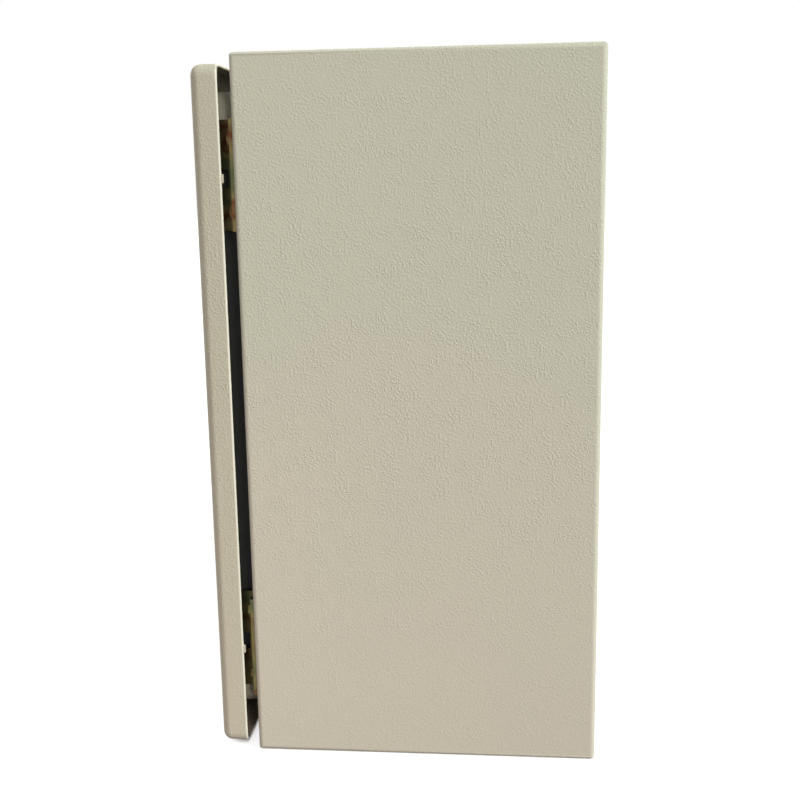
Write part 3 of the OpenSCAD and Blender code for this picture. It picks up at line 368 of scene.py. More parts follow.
def add_screw(shape, x, front, z, radius, tall, recess="cross"):
    known = set(shape.verts)
    rim = bmesh.ops.create_circle(shape, cap_ends=True, segments=HEAD_STEPS, radius=radius * MM)["verts"]
    arm = ARM_SHARE * radius * MM
    reach = REACH_SHARE * radius * MM
    sides = [(0, arm), (0, -arm)]
    if recess == "cross":
        sides += [(1, arm), (1, -arm), (0, reach), (0, -reach), (1, reach), (1, -reach)]
    parts = rim + list(dict.fromkeys(e for v in rim for e in v.link_edges)) + list(rim[0].link_faces)
    for axis, off in sides:
        spot = Vector((off if axis else 0, 0 if axis else off, 0))
        parts = bmesh.ops.bisect_plane(shape, geom=parts, plane_co=spot, plane_no=spot)["geom"]
    tops = [g for g in parts if isinstance(g, bmesh.types.BMFace)]
    outer = [e for e in dict.fromkeys(e for f in tops for e in f.edges) if len(e.link_faces) == 1]
    sunk = []
    for face in tops:
        middle = face.calc_center_median()
        across = abs(middle.y) < arm and (recess == "slot" or abs(middle.x) < reach)
        upright = recess == "cross" and abs(middle.x) < arm and abs(middle.y) < reach
        if across or upright:
            sunk.append(face)
    skirt = bmesh.ops.extrude_edge_only(shape, edges=outer)["geom"]
    drop = [g for g in skirt if isinstance(g, bmesh.types.BMVert)]
    bmesh.ops.translate(shape, verts=drop, vec=(0, 0, -tall * MM))
    base = [g for g in skirt if isinstance(g, bmesh.types.BMEdge) and set(g.verts) <= set(drop)]
    bmesh.ops.edgeloop_fill(shape, edges=base)
    pit = bmesh.ops.extrude_face_region(shape, geom=sunk)["geom"]
    drop = [g for g in pit if isinstance(g, bmesh.types.BMVert)]
    bmesh.ops.translate(shape, verts=drop, vec=(0, 0, -RECESS_SHARE * tall * MM))
    bmesh.ops.delete(shape, geom=sunk, context="FACES")
    put(shape, known, TO_FRONT, (x, front, z))


shape = bmesh.new()
for x in RAIL_SCREW_X:
    for z in (UPPER_Z, LOWER_Z):
        add_screw(shape, x, PLATE_Y - RAIL_SCREW_OUT, z, RAIL_SCREW_RADIUS, RAIL_SCREW_TALL)
new_piece("rail_screw_heads", shape, [zinc], "cabinet", ["rail_screws"])


# Wiring ducts: extruded grey PVC channels with slotted walls, riveted to the mounting plate.
# Their covers are extruded too, and snap on.
LINE_MM = 1.2
LINE_STRETCH = 0.02
LINE_DEEP_MM = 0.05
DUCT_EDGE_MM = 0.2
COVER_EDGE_MM = 0.4
# Extruded PVC: a dull grey plastic with fine lines along its length
pvc, tree, shader, place = new_material("extruded_pvc", "#8F9496", roughness=0.45)
stretch = add_node(tree, "ShaderNodeMapping", {"Scale": (LINE_STRETCH, 1.0, 1.0)}, {"Vector": place})
lines = add_node(tree, "ShaderNodeTexNoise", {"Scale": 1 / (LINE_MM * MM), "Detail": 2.0},
                 {"Vector": stretch.outputs[0]})
shade = add_node(tree, "ShaderNodeMix",
                 {"data_type": "RGBA", 6: linear("#898E90"), 7: linear("#969B9D")},
                 {0: lines.outputs["Fac"]})
tree.links.new(shade.outputs[2], shader.inputs["Base Color"])
bump = add_node(tree, "ShaderNodeBump", {"Strength": 0.3, "Distance": LINE_DEEP_MM * MM},
                {"Height": lines.outputs["Fac"]})
tree.links.new(bump.outputs["Normal"], shader.inputs["Normal"])
dress(["top_duct", "middle_duct", "bottom_duct"], pvc, DUCT_EDGE_MM)
dress(["top_duct_cover", "middle_duct_cover", "bottom_duct_cover"], pvc, COVER_EDGE_MM)


# Circuit breakers: moulded polyamide housings snapped on the upper rail, with black toggles.
# Their terminal screws sit at the bottom of shafts, above and below.
RAIL_Y = 85.7
GRAIN_MM = 0.6
GRAIN_DEEP_MM = 0.06
FLOW_MM = 18
BREAKER_X = (-92.75, -75.25, -57.25, -39.25)
BREAKER_FACE = RAIL_Y - 44
BREAKER_SCREW_Z = 33.5
BREAKER_SCREW_RADIUS = 3.1
BREAKER_EDGE_MM = 0.4
TOGGLE_EDGE_MM = 0.5
RIVET_EDGE_MM = 0.3
SCREW_TALL = 4
SCREW_SUNK = 3


# Moulded plastics: a dry surface from a spark-eroded mould, with a slight change of shade along the flow.
# The real grain is too fine to show, so it is drawn coarser.
def moulded(name, base, shade, roughness, grain_mm=GRAIN_MM):
    material, tree, shader, place = new_material(name, base, roughness)
    grain = add_node(tree, "ShaderNodeTexNoise", {"Scale": 1 / (grain_mm * MM), "Detail": 2.0},
                     {"Vector": place})
    bump = add_node(tree, "ShaderNodeBump", {"Strength": 0.35, "Distance": GRAIN_DEEP_MM * MM},
                    {"Height": grain.outputs["Fac"]})
    tree.links.new(bump.outputs["Normal"], shader.inputs["Normal"])
    flow = add_node(tree, "ShaderNodeTexNoise", {"Scale": 1 / (FLOW_MM * MM), "Detail": 2.0},
                    {"Vector": place})
    blend = add_node(tree, "ShaderNodeMix",
                     {"data_type": "RGBA", 6: linear(base), 7: linear(shade)},
                     {0: flow.outputs["Fac"]})
    tree.links.new(blend.outputs[2], shader.inputs["Base Color"])
    return material


def add_screw_rows(shape, places_x, front, middle_z, apart, radius, recess="cross"):
    for x in places_x:
        for side in (-apart, apart):
            add_screw(shape, x, front, middle_z + side, radius, SCREW_TALL, recess)


# Light grey polyamide: pale and dry, for breakers, buttons and bobbins
light_housing = moulded("light_grey_polyamide", "#D8D9D5", "#CDCFCB", roughness=0.45)
# Black polyamide: dark and dry, for toggles, rivets, contactor and sockets
black_moulding = moulded("black_polyamide", "#28292B", "#313335", roughness=0.42)
dress(["main_breaker", "first_breaker", "second_breaker"], light_housing, BREAKER_EDGE_MM)
dress(["main_toggle", "first_toggle", "second_toggle"], black_moulding, TOGGLE_EDGE_MM, segments=3)
dress(["duct_rivets"], black_moulding, RIVET_EDGE_MM)
shape = bmesh.new()
add_screw_rows(shape, BREAKER_X, BREAKER_FACE + SCREW_SUNK, UPPER_Z, BREAKER_SCREW_Z,
               BREAKER_SCREW_RADIUS)
new_piece("breaker_screws", shape, [zinc], "cabinet")


# Breaker windows: small moulded frames under the toggles, snapped in the housings.
# A red flag behind each shows the state of the contacts.
DEVICE_NOSE = RAIL_Y - 58
WINDOW_X = (-84, -57.25, -39.25)
WINDOW_BELOW = 16.7
WINDOW_WIDE = 8
WINDOW_HIGH = 5.4
WINDOW_RISE = 0.6
FRAME_WIDE = 0.7
FRAME_SLOPE = 0.1
FRAME_DEEP = 0.4


def add_window(shape, x, front, z):
    known = set(shape.verts)
    bmesh.ops.create_grid(shape, x_segments=1, y_segments=1, size=0.5)
    fresh = [v for v in shape.verts if v not in known]
    bmesh.ops.scale(shape, vec=(WINDOW_WIDE * MM, WINDOW_HIGH * MM, 1), verts=fresh)
    face = fresh[0].link_faces[0]
    lift = bmesh.ops.extrude_face_region(shape, geom=[face])["geom"]
    top = [g for g in lift if isinstance(g, bmesh.types.BMFace)]
    bmesh.ops.translate(shape, verts=top[0].verts, vec=(0, 0, WINDOW_RISE * MM))
    bmesh.ops.inset_region(shape, faces=top, thickness=FRAME_WIDE * MM)
    bmesh.ops.inset_region(shape, faces=top, thickness=FRAME_SLOPE * MM, depth=-FRAME_DEEP * MM)
    top[0].material_index = 1
    put(shape, known, TO_FRONT, (x, front, z))


# Red flag: a smooth, fairly glossy red plastic
red_flag = moulded("red_indicator", "#D53B2E", "#C93327", roughness=0.3, grain_mm=0.8)
shape = bmesh.new()
for x in WINDOW_X:
    add_window(shape, x, DEVICE_NOSE, UPPER_Z - WINDOW_BELOW)
new_piece("breaker_windows", shape, [light_housing, red_flag], "cabinet")


# Logic module: a moulded dark grey housing snapped on the upper rail, with two rows of screws.
# It has a glossy screen window and six rubber keys, three on each side of it.
SMEAR_MM = 12
HOUSING_EDGE_MM = 0.5
SCREEN_EDGE_MM = 0.2
LOGIC_X = 6
LOGIC_WAYS = 8
WAY_PITCH = 8
LOGIC_SCREW_Z = 37
LOGIC_SCREW_RADIUS = 2.3
KEY_ASIDE = 29.5
KEY_X = (LOGIC_X - KEY_ASIDE, LOGIC_X + KEY_ASIDE)
KEY_Z = (-8.5, 0, 8.5)
KEY_SIZE = (7.5, 6, 1.2)
KEY_EDGE = 1
# Dark grey polycarbonate: mid-dark and dry, for the logic module and the power supply
dark_housing = moulded("dark_grey_polycarbonate", "#6F7375", "#676B6D", roughness=0.45)
dress(["power_supply", "logic_module"], dark_housing, HOUSING_EDGE_MM)
# Screen window: black and glossy, with faint smears that dull it
screen, tree, shader, place = new_material("screen_window", "#121416", roughness=0.08)
smear = add_node(tree, "ShaderNodeTexNoise", {"Scale": 1 / (SMEAR_MM * MM), "Detail": 3.0},
                 {"Vector": place})
dull = add_node(tree, "ShaderNodeMapRange", {"To Min": 0.05, "To Max": 0.2},
                {"Value": smear.outputs["Fac"]})
tree.links.new(dull.outputs[0], shader.inputs["Roughness"])
dress(["module_screen"], screen, SCREEN_EDGE_MM)


def spread(middle, count, pitch):
    return [middle + (i - (count - 1) / 2) * pitch for i in range(count)]


shape = bmesh.new()
add_screw_rows(shape, spread(LOGIC_X, LOGIC_WAYS, WAY_PITCH), BREAKER_FACE + SCREW_SUNK, UPPER_Z,
               LOGIC_SCREW_Z, LOGIC_SCREW_RADIUS)
new_piece("module_screws", shape, [zinc], "cabinet")


def add_key(shape, x, front, z, size, edge):
    known = set(shape.verts)
    wide, high, rise = size
    bmesh.ops.create_cube(shape, size=1.0)
    fresh = [v for v in shape.verts if v not in known]
    bmesh.ops.scale(shape, vec=(wide * MM, high * MM, 2 * rise * MM), verts=fresh)
    edges = dict.fromkeys(e for v in fresh for e in v.link_edges)
    rim = [e for e in edges if max(v.co.z for v in e.verts) > 0]
    bmesh.ops.bevel(shape, geom=rim, offset=edge * MM, offset_type="OFFSET", affect="EDGES",
                    segments=3, profile=0.5, material=-1)
    put(shape, known, TO_FRONT, (x, front, z))


# Silicone keypad: a soft dark grey rubber, duller than the housing
key_rubber = moulded("silicone_keypad", "#3A3D40", "#43474A", roughness=0.6, grain_mm=0.8)
shape = bmesh.new()
for x in KEY_X:
    for z in KEY_Z:
        add_key(shape, x, DEVICE_NOSE, UPPER_Z + z, KEY_SIZE, KEY_EDGE)
new_piece("module_keys", shape, [key_rubber], "cabinet")


# Power supply: a vented housing of the same dark plastic, snapped on the upper rail.
# It has two rows of screws, a slotted trimmer and a green lamp; the logic module has two such lamps.
SUPPLY_X = 73
SUPPLY_WAYS = 5
SUPPLY_FACE = RAIL_Y - 46
SUPPLY_SCREW_Z = 39
SUPPLY_SCREW_RADIUS = 2.5
TRIMMER_UP = 20
TRIMMER_SUNK = 2
TRIMMER_RADIUS = 1.9
BEZEL_HIGH = 0.5
BEZEL_EDGE = 0.35
BEZEL_OUT = 1.35
BEZEL_IN = 1.2
DOME_SHARE = 0.8
DOME_STEPS = 6
SUPPLY_LAMP = (SUPPLY_X + 10, UPPER_Z + 20, 1.5)
LOGIC_LAMPS = ((LOGIC_X - 20, UPPER_Z + 19, 1.2), (LOGIC_X - 15, UPPER_Z + 19, 1.2))
shape = bmesh.new()
add_screw_rows(shape, spread(SUPPLY_X, SUPPLY_WAYS, WAY_PITCH), SUPPLY_FACE + SCREW_SUNK, UPPER_Z,
               SUPPLY_SCREW_Z, SUPPLY_SCREW_RADIUS)
add_screw(shape, SUPPLY_X, DEVICE_NOSE + TRIMMER_SUNK, UPPER_Z + TRIMMER_UP, TRIMMER_RADIUS, SCREW_TALL,
          "slot")
new_piece("supply_screws", shape, [zinc], "cabinet")


def add_lens(shape, x, front, z, radius):
    profile = [(0, -BEZEL_HIGH), (BEZEL_OUT * radius, -BEZEL_HIGH), (BEZEL_OUT * radius, BEZEL_EDGE),
               (BEZEL_IN * radius, BEZEL_HIGH), (radius, BEZEL_HIGH)]
    for k in range(1, DOME_STEPS + 1):
        rise = k * math.pi / (2 * DOME_STEPS)
        profile.append((radius * math.cos(rise), BEZEL_HIGH + DOME_SHARE * radius * math.sin(rise)))
    add_spun(shape, profile, ROUND_STEPS, TO_FRONT, (x, front, z))


# Green lens: a smooth glossy green plastic, unlit
green_lens = moulded("green_lens", "#3F9A4A", "#4BAA57", roughness=0.15, grain_mm=2.0)
shape = bmesh.new()
for x, z, radius in (SUPPLY_LAMP, *LOGIC_LAMPS):
    add_lens(shape, x, DEVICE_NOSE, z, radius)
new_piece("status_lenses", shape, [green_lens], "cabinet")


# Contactor: a stepped housing of black polyamide, snapped on the lower rail.
# It has screws in its shafts and a pale button that moves with the armature.
CONTACTOR_X = -79
CONTACTOR_WAYS = 4
CONTACTOR_PITCH = 10.5
CONTACTOR_FACE = RAIL_Y - 40
CONTACTOR_SCREW_Z = 33
CONTACTOR_SCREW_RADIUS = 3.3
BUTTON_EDGE_MM = 0.8
dress(["contactor"], black_moulding, HOUSING_EDGE_MM)
dress(["contactor_button"], light_housing, BUTTON_EDGE_MM, segments=3)
shape = bmesh.new()
add_screw_rows(shape, spread(CONTACTOR_X, CONTACTOR_WAYS, CONTACTOR_PITCH),
               CONTACTOR_FACE + SCREW_SUNK, LOWER_Z, CONTACTOR_SCREW_Z, CONTACTOR_SCREW_RADIUS)
new_piece("contactor_screws", shape, [zinc], "cabinet")


# Relays: clear covers, lightly smoked, plugged in black screw sockets on the lower rail.
# Each holds a copper coil on a white bobbin, a steel yoke and brass contact springs.
RELAY_X = (-39.25, -12.25)
RELAY_SIZE = (21, 36, 28)
SOCKET_DEEP = 30
RELAY_Y = RAIL_Y - SOCKET_DEEP - RELAY_SIZE[1] / 2
RELAY_ROUND = 1.5
RELAY_WALL = 1.0
SOCKET_WAYS = 3
SOCKET_PITCH = 7.5
SOCKET_FACE = RAIL_Y - 22
SOCKET_SCREW_Z = 31
SOCKET_SCREW_RADIUS = 2.5
COVER_IOR = 1.58
HAZE_MM = 10
WIRE_MM = 0.6
COIL_STEPS = 24
COIL_TURNS = 12
COIL_BACK = 7
COIL_GROOVE = 5.6
COIL_CREST = 6.1
COIL_HALF = 7.2
COIL_END = 7.4
WIRE_STEP = 1.2
FLANGE_RADIUS = 7.2
FLANGE_THICK = 1.2
FLANGE_LOW = (-8.6, 7.4)
FOOT_BLOCK = ((-8.5, 14.6, -12), (8.5, 16.8, 12))
FOOT_EDGE = 0.5
YOKE_BLOCKS = (((-6, -2.6, -10.6), (6, -1, 10.6)), ((-6, -2.6, 8.8), (6, 13, 10.4)))
YOKE_EDGE = 0.4
SPRING_X = (-5.5, 0, 5.5)
SPRING_BLOCKS = (((-1.4, -14, -9), (1.4, -13.5, 7)), ((-1.4, -10, -9), (1.4, -9.5, 7)))
SPRING_EDGE = 0.1
CONTACT_STEPS = 12
CONTACT_RADIUS = 1.1
CONTACT_THICK = 1.4
CONTACT_AHEAD = 12.1
CONTACT_UP = 5
dress(["relay_sockets"], black_moulding, HOUSING_EDGE_MM)
shape = bmesh.new()
for x in RELAY_X:
    add_screw_rows(shape, spread(x, SOCKET_WAYS, SOCKET_PITCH), SOCKET_FACE + SCREW_SUNK, LOWER_Z,
                   SOCKET_SCREW_Z, SOCKET_SCREW_RADIUS)
new_piece("socket_screws", shape, [zinc], "cabinet")
# Smoked polycarbonate: clear with a slight grey-green cast, and a little hazy in places
smoked, tree, shader, place = new_material("smoked_polycarbonate", "#C9CFCC", roughness=0.06)
shader.inputs["Transmission Weight"].default_value = 1.0
shader.inputs["IOR"].default_value = COVER_IOR
haze = add_node(tree, "ShaderNodeTexNoise", {"Scale": 1 / (HAZE_MM * MM), "Detail": 2.0},
                {"Vector": place})
dull = add_node(tree, "ShaderNodeMapRange", {"To Min": 0.03, "To Max": 0.12},
                {"Value": haze.outputs["Fac"]})
tree.links.new(dull.outputs[0], shader.inputs["Roughness"])
# Enamelled copper: a reddish metal, mottled by its turns, which are drawn coarser than the real wire
copper, tree, shader, place = new_material("enamelled_copper", "#B4633A", roughness=0.35, metallic=1.0)
turns = add_node(tree, "ShaderNodeTexNoise", {"Scale": 1 / (WIRE_MM * MM), "Detail": 1.0},
                 {"Vector": place})
shade = add_node(tree, "ShaderNodeMix",
                 {"data_type": "RGBA", 6: linear("#8E4424"), 7: linear("#C6764A")},
                 {0: turns.outputs["Fac"]})
tree.links.new(shade.outputs[2], shader.inputs["Base Color"])
for name, x in zip(("first_relay", "second_relay"), RELAY_X):
    shape = bmesh.new()
    bmesh.ops.create_cube(shape, size=1.0)
    bmesh.ops.scale(shape, vec=[side * MM for side in RELAY_SIZE], verts=shape.verts)
    bmesh.ops.bevel(shape, geom=shape.edges[:], offset=RELAY_ROUND * MM, offset_type="OFFSET",
                    affect="EDGES", segments=3, profile=0.5, material=-1)
    bmesh.ops.translate(shape, verts=shape.verts, vec=Vector((x, RELAY_Y, LOWER_Z)) * MM)
    cover = new_piece(name + "_cover", shape, [smoked], "cabinet", [name])
    wall = cover.modifiers.new("wall", "SOLIDIFY")
    wall.thickness = RELAY_WALL * MM
    wall.offset = -1.0


def add_block(shape, spot, block, edge):
    low, high = block
    known = set(shape.verts)
    bmesh.ops.create_cube(shape, size=1.0)
    fresh = [v for v in shape.verts if v not in known]
    bmesh.ops.scale(shape, vec=[(b - a) * MM for a, b in zip(low, high)], verts=fresh)
    rims = list(dict.fromkeys(e for v in fresh for e in v.link_edges))
    bmesh.ops.bevel(shape, geom=rims, offset=edge * MM, offset_type="OFFSET", affect="EDGES",
                    segments=2, profile=0.5, material=-1)
    put(shape, known, UPWARDS, [s + (a + b) / 2 for s, a, b in zip(spot, low, high)])


def disc(radius, low, thick):
    return [(0, low), (radius, low), (radius, low + thick), (0, low + thick)]


coil = bmesh.new()
bobbin = bmesh.new()
yoke = bmesh.new()
springs = bmesh.new()
wire = [(0, -COIL_END)]
for k in range(COIL_TURNS):
    wire += [(COIL_GROOVE, WIRE_STEP * k - COIL_HALF), (COIL_CREST, WIRE_STEP * (k + 0.5) - COIL_HALF)]
wire += [(COIL_GROOVE, COIL_HALF), (0, COIL_END)]
for x in RELAY_X:
    add_spun(coil, wire, COIL_STEPS, UPWARDS, (x, RELAY_Y + COIL_BACK, LOWER_Z))
    for low in FLANGE_LOW:
        add_spun(bobbin, disc(FLANGE_RADIUS, low, FLANGE_THICK), COIL_STEPS, UPWARDS,
                 (x, RELAY_Y + COIL_BACK, LOWER_Z))
    add_block(bobbin, (x, RELAY_Y, LOWER_Z), FOOT_BLOCK, FOOT_EDGE)
    for block in YOKE_BLOCKS:
        add_block(yoke, (x, RELAY_Y, LOWER_Z), block, YOKE_EDGE)
    for off in SPRING_X:
        for block in SPRING_BLOCKS:
            add_block(springs, (x + off, RELAY_Y, LOWER_Z), block, SPRING_EDGE)
        add_spun(springs, disc(CONTACT_RADIUS, 0, CONTACT_THICK), CONTACT_STEPS, TO_FRONT,
                 (x + off, RELAY_Y - CONTACT_AHEAD, LOWER_Z + CONTACT_UP))
new_piece("relay_coils", coil, [copper], "cabinet")
new_piece("relay_bobbins", bobbin, [light_housing], "cabinet")
new_piece("relay_yokes", yoke, [zinc], "cabinet")
new_piece("relay_springs", springs, [brass], "cabinet")


# Rail terminals: slim moulded blocks in grey, blue and green with yellow, held by end clamps.
# Each has two slotted screws and a blank white marker tag clipped on its front.
TERMINAL_EDGE_MM = 0.25
YELLOW_HALF_MM = 11
TERMINAL_COUNT = 12
TERMINAL_PITCH = 5.2
FIRST_TERMINAL_X = 9.1
TERMINAL_X = [FIRST_TERMINAL_X + TERMINAL_PITCH * i for i in range(TERMINAL_COUNT)]
TERMINAL_FACE = RAIL_Y - 36
TERMINAL_SCREW_SUNK = 4
TERMINAL_SCREW_Z = 15.5
TERMINAL_SCREW_RADIUS = 1.7
CLAMP_SPOTS = ((-106, UPPER_Z), (-106, LOWER_Z), (73.4, LOWER_Z))
CLAMP_FACE = RAIL_Y - 30
CLAMP_SCREW_RADIUS = 2.3
TAG_FACE = RAIL_Y - 40
TAG_ASIDE = 0.05
TAG_SIZE = (4.4, 9, 0.8)
TAG_EDGE = 0.3
# Grey polyamide: mid-grey and dry, for terminals and clamps
terminal_grey = moulded("grey_polyamide", "#A5A7A4", "#9B9D9A", roughness=0.5)
# Blue polyamide: a strong blue, as neutral terminals have
terminal_blue = moulded("blue_polyamide", "#2F62A8", "#2A5A9C", roughness=0.5)
dress(["grey_terminals", "end_clamps"], terminal_grey, TERMINAL_EDGE_MM)
dress(["blue_terminals"], terminal_blue, TERMINAL_EDGE_MM)
# Green and yellow polyamide: a yellow middle between green ends, as earth terminals have
terminal_earth, tree, shader, place = new_material("green_yellow_polyamide", "#4E8F3C", roughness=0.5)
up = add_node(tree, "ShaderNodeSeparateXYZ", {}, {0: place})
away = add_node(tree, "ShaderNodeMath", {"operation": "SUBTRACT", 1: LOWER_Z * MM},
                {0: up.outputs["Z"]})
away = add_node(tree, "ShaderNodeMath", {"operation": "ABSOLUTE"}, {0: away.outputs[0]})
near = add_node(tree, "ShaderNodeMath", {"operation": "LESS_THAN", 1: YELLOW_HALF_MM * MM},
                {0: away.outputs[0]})
halves = add_node(tree, "ShaderNodeMix",
                  {"data_type": "RGBA", 6: linear("#4E8F3C"), 7: linear("#D8C23A")},
                  {0: near.outputs[0]})
tree.links.new(halves.outputs[2], shader.inputs["Base Color"])
dress(["earth_terminals"], terminal_earth, TERMINAL_EDGE_MM)
shape = bmesh.new()
add_screw_rows(shape, TERMINAL_X, TERMINAL_FACE + TERMINAL_SCREW_SUNK, LOWER_Z, TERMINAL_SCREW_Z,
               TERMINAL_SCREW_RADIUS, "slot")
for x, z in CLAMP_SPOTS:
    add_screw(shape, x, CLAMP_FACE + SCREW_SUNK, z, CLAMP_SCREW_RADIUS, SCREW_TALL)
new_piece("terminal_screws", shape, [zinc], "cabinet")
# White marker tags: a plain off-white plastic with nothing on it
marker_white = moulded("white_marker_tag", "#E6E6E1", "#DDDDD8", roughness=0.5, grain_mm=0.8)
shape = bmesh.new()
for x in TERMINAL_X:
    add_key(shape, x - TAG_ASIDE, TAG_FACE, LOWER_Z, TAG_SIZE, TAG_EDGE)
new_piece("marker_tags", shape, [marker_white], "cabinet")


# Door: one pan of folded sheet, coated as the body is, with the hinge leaves welded inside.
# The powder gathers at the rim's cut edge and bakes there to a thin bead, which is coloured paler as a
# painted highlight of the light from behind.
DOOR_SHEET = 1.5
DOOR_CORNER = 6.5
DOOR_EDGE_MM = 0.65
TAB_BACK = 1.5
BEAD_OUT = 0.06
BEAD_BACK = 0.25
BEAD_WIDE = 1.2
BEAD_ROUND = 0.3
# Door coat: the same textured powder, a shade warmer and darker than on the body
door_coat = powder_coat.copy()
door_coat.name = "door_powder_coat"
door_tint = door_coat.node_tree.nodes[coat_tint.name]
door_tint.inputs[6].default_value = linear("#B2AF9E")
door_tint.inputs[7].default_value = linear("#BCB4A3")
dress(["door_panel"], door_coat, DOOR_EDGE_MM, segments=3)
low, high = [Vector(corner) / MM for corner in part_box("door_panel")]
shape = bmesh.new()
bmesh.ops.create_grid(shape, x_segments=1, y_segments=1, size=0.5)
rim_size = [high[i] - low[i] - DOOR_SHEET for i in (0, 2)]
bmesh.ops.scale(shape, vec=(rim_size[0] * MM, rim_size[1] * MM, 1), verts=shape.verts)
bmesh.ops.bevel(shape, geom=shape.verts[:], offset=(DOOR_CORNER - DOOR_SHEET / 2) * MM,
                offset_type="OFFSET", affect="VERTICES", segments=6, profile=0.5, material=-1)
bmesh.ops.delete(shape, geom=shape.faces[:], context="FACES_ONLY")
band = bmesh.ops.extrude_edge_only(shape, edges=shape.edges[:])["geom"]
ahead = [g for g in band if isinstance(g, bmesh.types.BMVert)]
bmesh.ops.translate(shape, verts=ahead, vec=(0, 0, BEAD_WIDE * MM))
put(shape, set(), TO_FRONT,
    [(low.x + high.x) / 2, high.y - TAB_BACK + BEAD_BACK, (low.z + high.z) / 2])
# Bead coat: glossier than the rest, because the film is thick and has no grain, and painted paler as a
# highlight where the rim's edge catches the light from behind
bead_highlight_coat, tree, shader, place = new_material("painted_highlight_coat", "#DDD9C9", roughness=0.32)
highlight_mottle = add_node(tree, "ShaderNodeTexNoise", {"Scale": 1 / (CLUMP_MM * MM), "Detail": 2.0},
                {"Vector": place})
highlight_tint = add_node(tree, "ShaderNodeMix",
                 {"data_type": "RGBA", 6: linear("#D6D2C2"), 7: linear("#E2DFD0")},
                 {0: highlight_mottle.outputs["Fac"]})
tree.links.new(highlight_tint.outputs[2], shader.inputs["Base Color"])
bead = new_piece("rim_bead", shape, [bead_highlight_coat], "door")
wall = bead.modifiers.new("coat", "SOLIDIFY")
wall.thickness = (DOOR_SHEET + 2 * BEAD_OUT) * MM
wall.offset = 0
edge = bead.modifiers.new("edge", "BEVEL")
edge.width = BEAD_ROUND * MM
edge.segments = 4


# Lock: a zinc die casting through the door, held by its nut, with a rubber washer under its rim.
# A black double-bit insert turns in it and carries the cam behind.
SKIN_MM = 1.5
SKIN_DEEP_MM = 0.03
CASTING_EDGE_MM = 0.4
INSERT_EDGE_MM = 0.25
# Die-cast zinc: a smooth grey metal with the slightly uneven skin of a casting
die_cast, tree, shader, place = new_material("die_cast_zinc", "#97999A", roughness=0.28, metallic=1.0)
skin = add_node(tree, "ShaderNodeTexNoise", {"Scale": 1 / (SKIN_MM * MM), "Detail": 3.0},
                {"Vector": place})
dull = add_node(tree, "ShaderNodeMapRange", {"To Min": 0.22, "To Max": 0.38},
                {"Value": skin.outputs["Fac"]})
tree.links.new(dull.outputs[0], shader.inputs["Roughness"])
bump = add_node(tree, "ShaderNodeBump", {"Strength": 0.15, "Distance": SKIN_DEEP_MM * MM},
                {"Height": skin.outputs["Fac"]})
tree.links.new(bump.outputs["Normal"], shader.inputs["Normal"])
dress(["lock_housing"], die_cast, CASTING_EDGE_MM, segments=3)
dress(["lock_insert"], black_moulding, INSERT_EDGE_MM)


# Floor and backdrop: a pale floor and surroundings that both read as white.
# The floor's glow is dimmed close under the cabinet by an occlusion mask, a painted shadow where little
# light comes in, and what is seen directly is brighter than what lights the cabinet.
FLOOR_RADIUS_M = 12.0
FLOOR_GLOW = 0.87
WORLD_LIGHT = 0.27
WORLD_SEEN = 1.0
CLOSE_MM = 20
DARK_BELOW = 0.02
LIT_ABOVE = 0.2
WHITE = (1, 1, 1, 1)
floor_mesh = bpy.data.meshes.new("floor")
shape = bmesh.new()
bmesh.ops.create_circle(shape, cap_ends=True, segments=64, radius=FLOOR_RADIUS_M)
shape.to_mesh(floor_mesh)
shape.free()
floor = bpy.data.objects.new("floor", floor_mesh)
bpy.context.scene.collection.objects.link(floor)
floor_paint = bpy.data.materials.new("pale_floor")
floor_paint.use_nodes = True
floor_mesh.materials.append(floor_paint)
world = bpy.data.worlds.new("studio")
world.use_nodes = True
bpy.context.scene.world = world


def seen_directly(tree):
    rays = add_node(tree, "ShaderNodeLightPath", {}, {})
    seen = add_node(tree, "ShaderNodeMath", {"operation": "MAXIMUM"},
                    {0: rays.outputs["Is Camera Ray"], 1: rays.outputs["Is Glossy Ray"]})
    return add_node(tree, "ShaderNodeMath", {"operation": "MAXIMUM"},
                    {0: seen.outputs[0], 1: rays.outputs["Is Transmission Ray"]}).outputs[0]


tree = floor_paint.node_tree
tree.nodes.clear()
# Painted shadow: the floor's glow fades where the floor is closed in under the cabinet
floor_occlusion = add_node(tree, "ShaderNodeAmbientOcclusion", {"Distance": CLOSE_MM * MM, "samples": 8}, {})
glow_with_painted_shadow = add_node(tree, "ShaderNodeMapRange",
               {"From Min": DARK_BELOW, "From Max": LIT_ABOVE, "To Max": FLOOR_GLOW},
               {"Value": floor_occlusion.outputs["AO"]})
matt = add_node(tree, "ShaderNodeBsdfDiffuse", {"Color": linear("#909090")}, {})
glow = add_node(tree, "ShaderNodeEmission", {"Color": WHITE}, {"Strength": glow_with_painted_shadow.outputs[0]})
both = add_node(tree, "ShaderNodeAddShader", {}, {0: matt.outputs[0], 1: glow.outputs[0]})
mix = add_node(tree, "ShaderNodeMixShader", {},
               {0: seen_directly(tree), 1: matt.outputs[0], 2: both.outputs[0]})
add_node(tree, "ShaderNodeOutputMaterial", {}, {"Surface": mix.outputs[0]})
tree = world.node_tree
tree.nodes.clear()
soft = add_node(tree, "ShaderNodeBackground", {"Color": WHITE, "Strength": WORLD_LIGHT}, {})
white = add_node(tree, "ShaderNodeBackground", {"Color": WHITE, "Strength": WORLD_SEEN}, {})
mix = add_node(tree, "ShaderNodeMixShader", {},
               {0: seen_directly(tree), 1: soft.outputs[0], 2: white.outputs[0]})
add_node(tree, "ShaderNodeOutputWorld", {}, {"Surface": mix.outputs[0]})


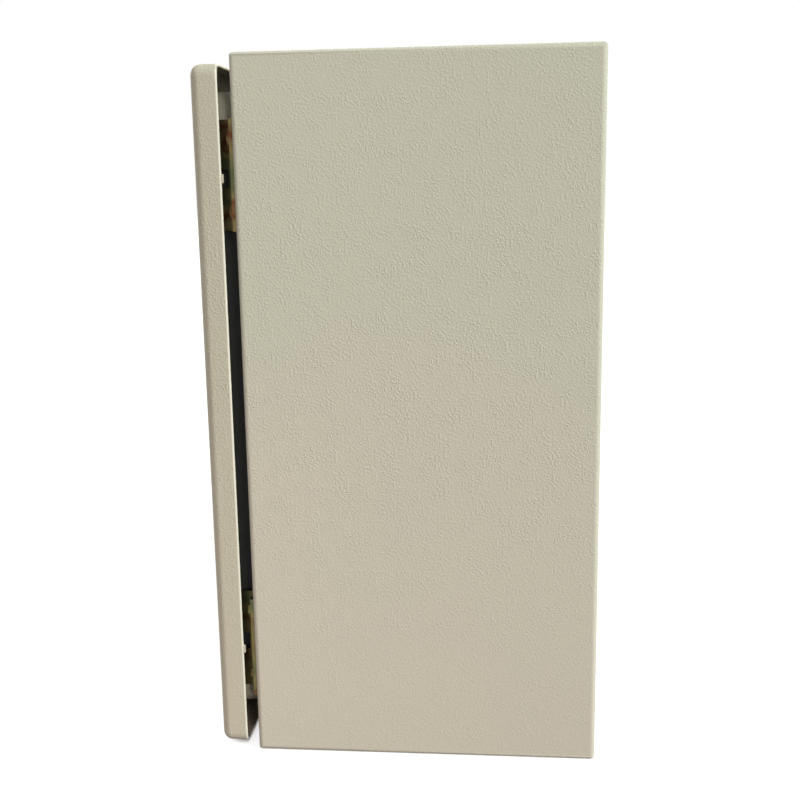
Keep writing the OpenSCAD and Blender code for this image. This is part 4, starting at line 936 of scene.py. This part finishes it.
# Lamps: a high window behind the hinge side, and the wide pale room on the opposite side of the cabinet.
# Weaker ones are a ceiling lamp, a warm lamp on the camera's side,
# and the low pinkish light that comes back from the surroundings.
SUNS = (
    ("window_light", 3.4, "#F7FFF9", (0.51, 0.78, 0.71), 8),
    ("room_light", 3.0, "#FFFFFF", (-0.6, -0.55, 0.5), 90),
    ("ceiling_light", 0.2, "#FFFFFF", (0.25, -0.05, 1.2), 25),
    ("near_light", 0.9, "#FFF6EC", (1.0, 0.38, 0.5), 10),
)
FILL_SPOT = (0.65, -0.28, 0.08)
FILL_WATTS = 0.4
FILL_WIDE_M = 0.25
LAMP_AIM = Vector((0.15, 0, 0.2))


def add_lamp(name, kind, energy, colour, spot):
    data = bpy.data.lights.new(name, kind)
    data.energy = energy
    data.color = linear(colour)[:3]
    lamp = bpy.data.objects.new(name, data)
    lamp.location = spot
    lamp.rotation_mode = "QUATERNION"
    lamp.rotation_quaternion = (LAMP_AIM - Vector(spot)).to_track_quat("-Z", "Y")
    bpy.context.scene.collection.objects.link(lamp)
    return data


for name, energy, colour, spot, wide_deg in SUNS:
    add_lamp(name, "SUN", energy, colour, spot).angle = math.radians(wide_deg)
add_lamp("fill_light", "AREA", FILL_WATTS, "#FFD8D0", FILL_SPOT).size = FILL_WIDE_M


# Camera: a phone held level with the cabinet's upper half, near its hinge side.
# It stands a little behind the cabinet's front, and is tilted slightly to one side.
IMAGE_PX = 800
FOCAL_PX = 1085
SENSOR_MM = 36
CAMERA_SPOT = (734.76, 57.49, 329.41)
LOOK = (-0.97665, -0.0921, -0.19409)
RIGHT = (-0.09065, 0.99575, -0.01635)
lens = bpy.data.cameras.new("camera")
lens.sensor_width = SENSOR_MM
lens.lens = FOCAL_PX / IMAGE_PX * SENSOR_MM
camera = bpy.data.objects.new("camera", lens)
look = Vector(LOOK).normalized()
right = Vector(RIGHT).normalized()
turn = Matrix((right, right.cross(look).normalized(), -look)).transposed().to_4x4()
camera.matrix_world = Matrix.Translation(Vector(CAMERA_SPOT) * MM) @ turn
bpy.context.scene.collection.objects.link(camera)
bpy.context.scene.camera = camera
bpy.context.scene.view_settings.view_transform = "Standard"
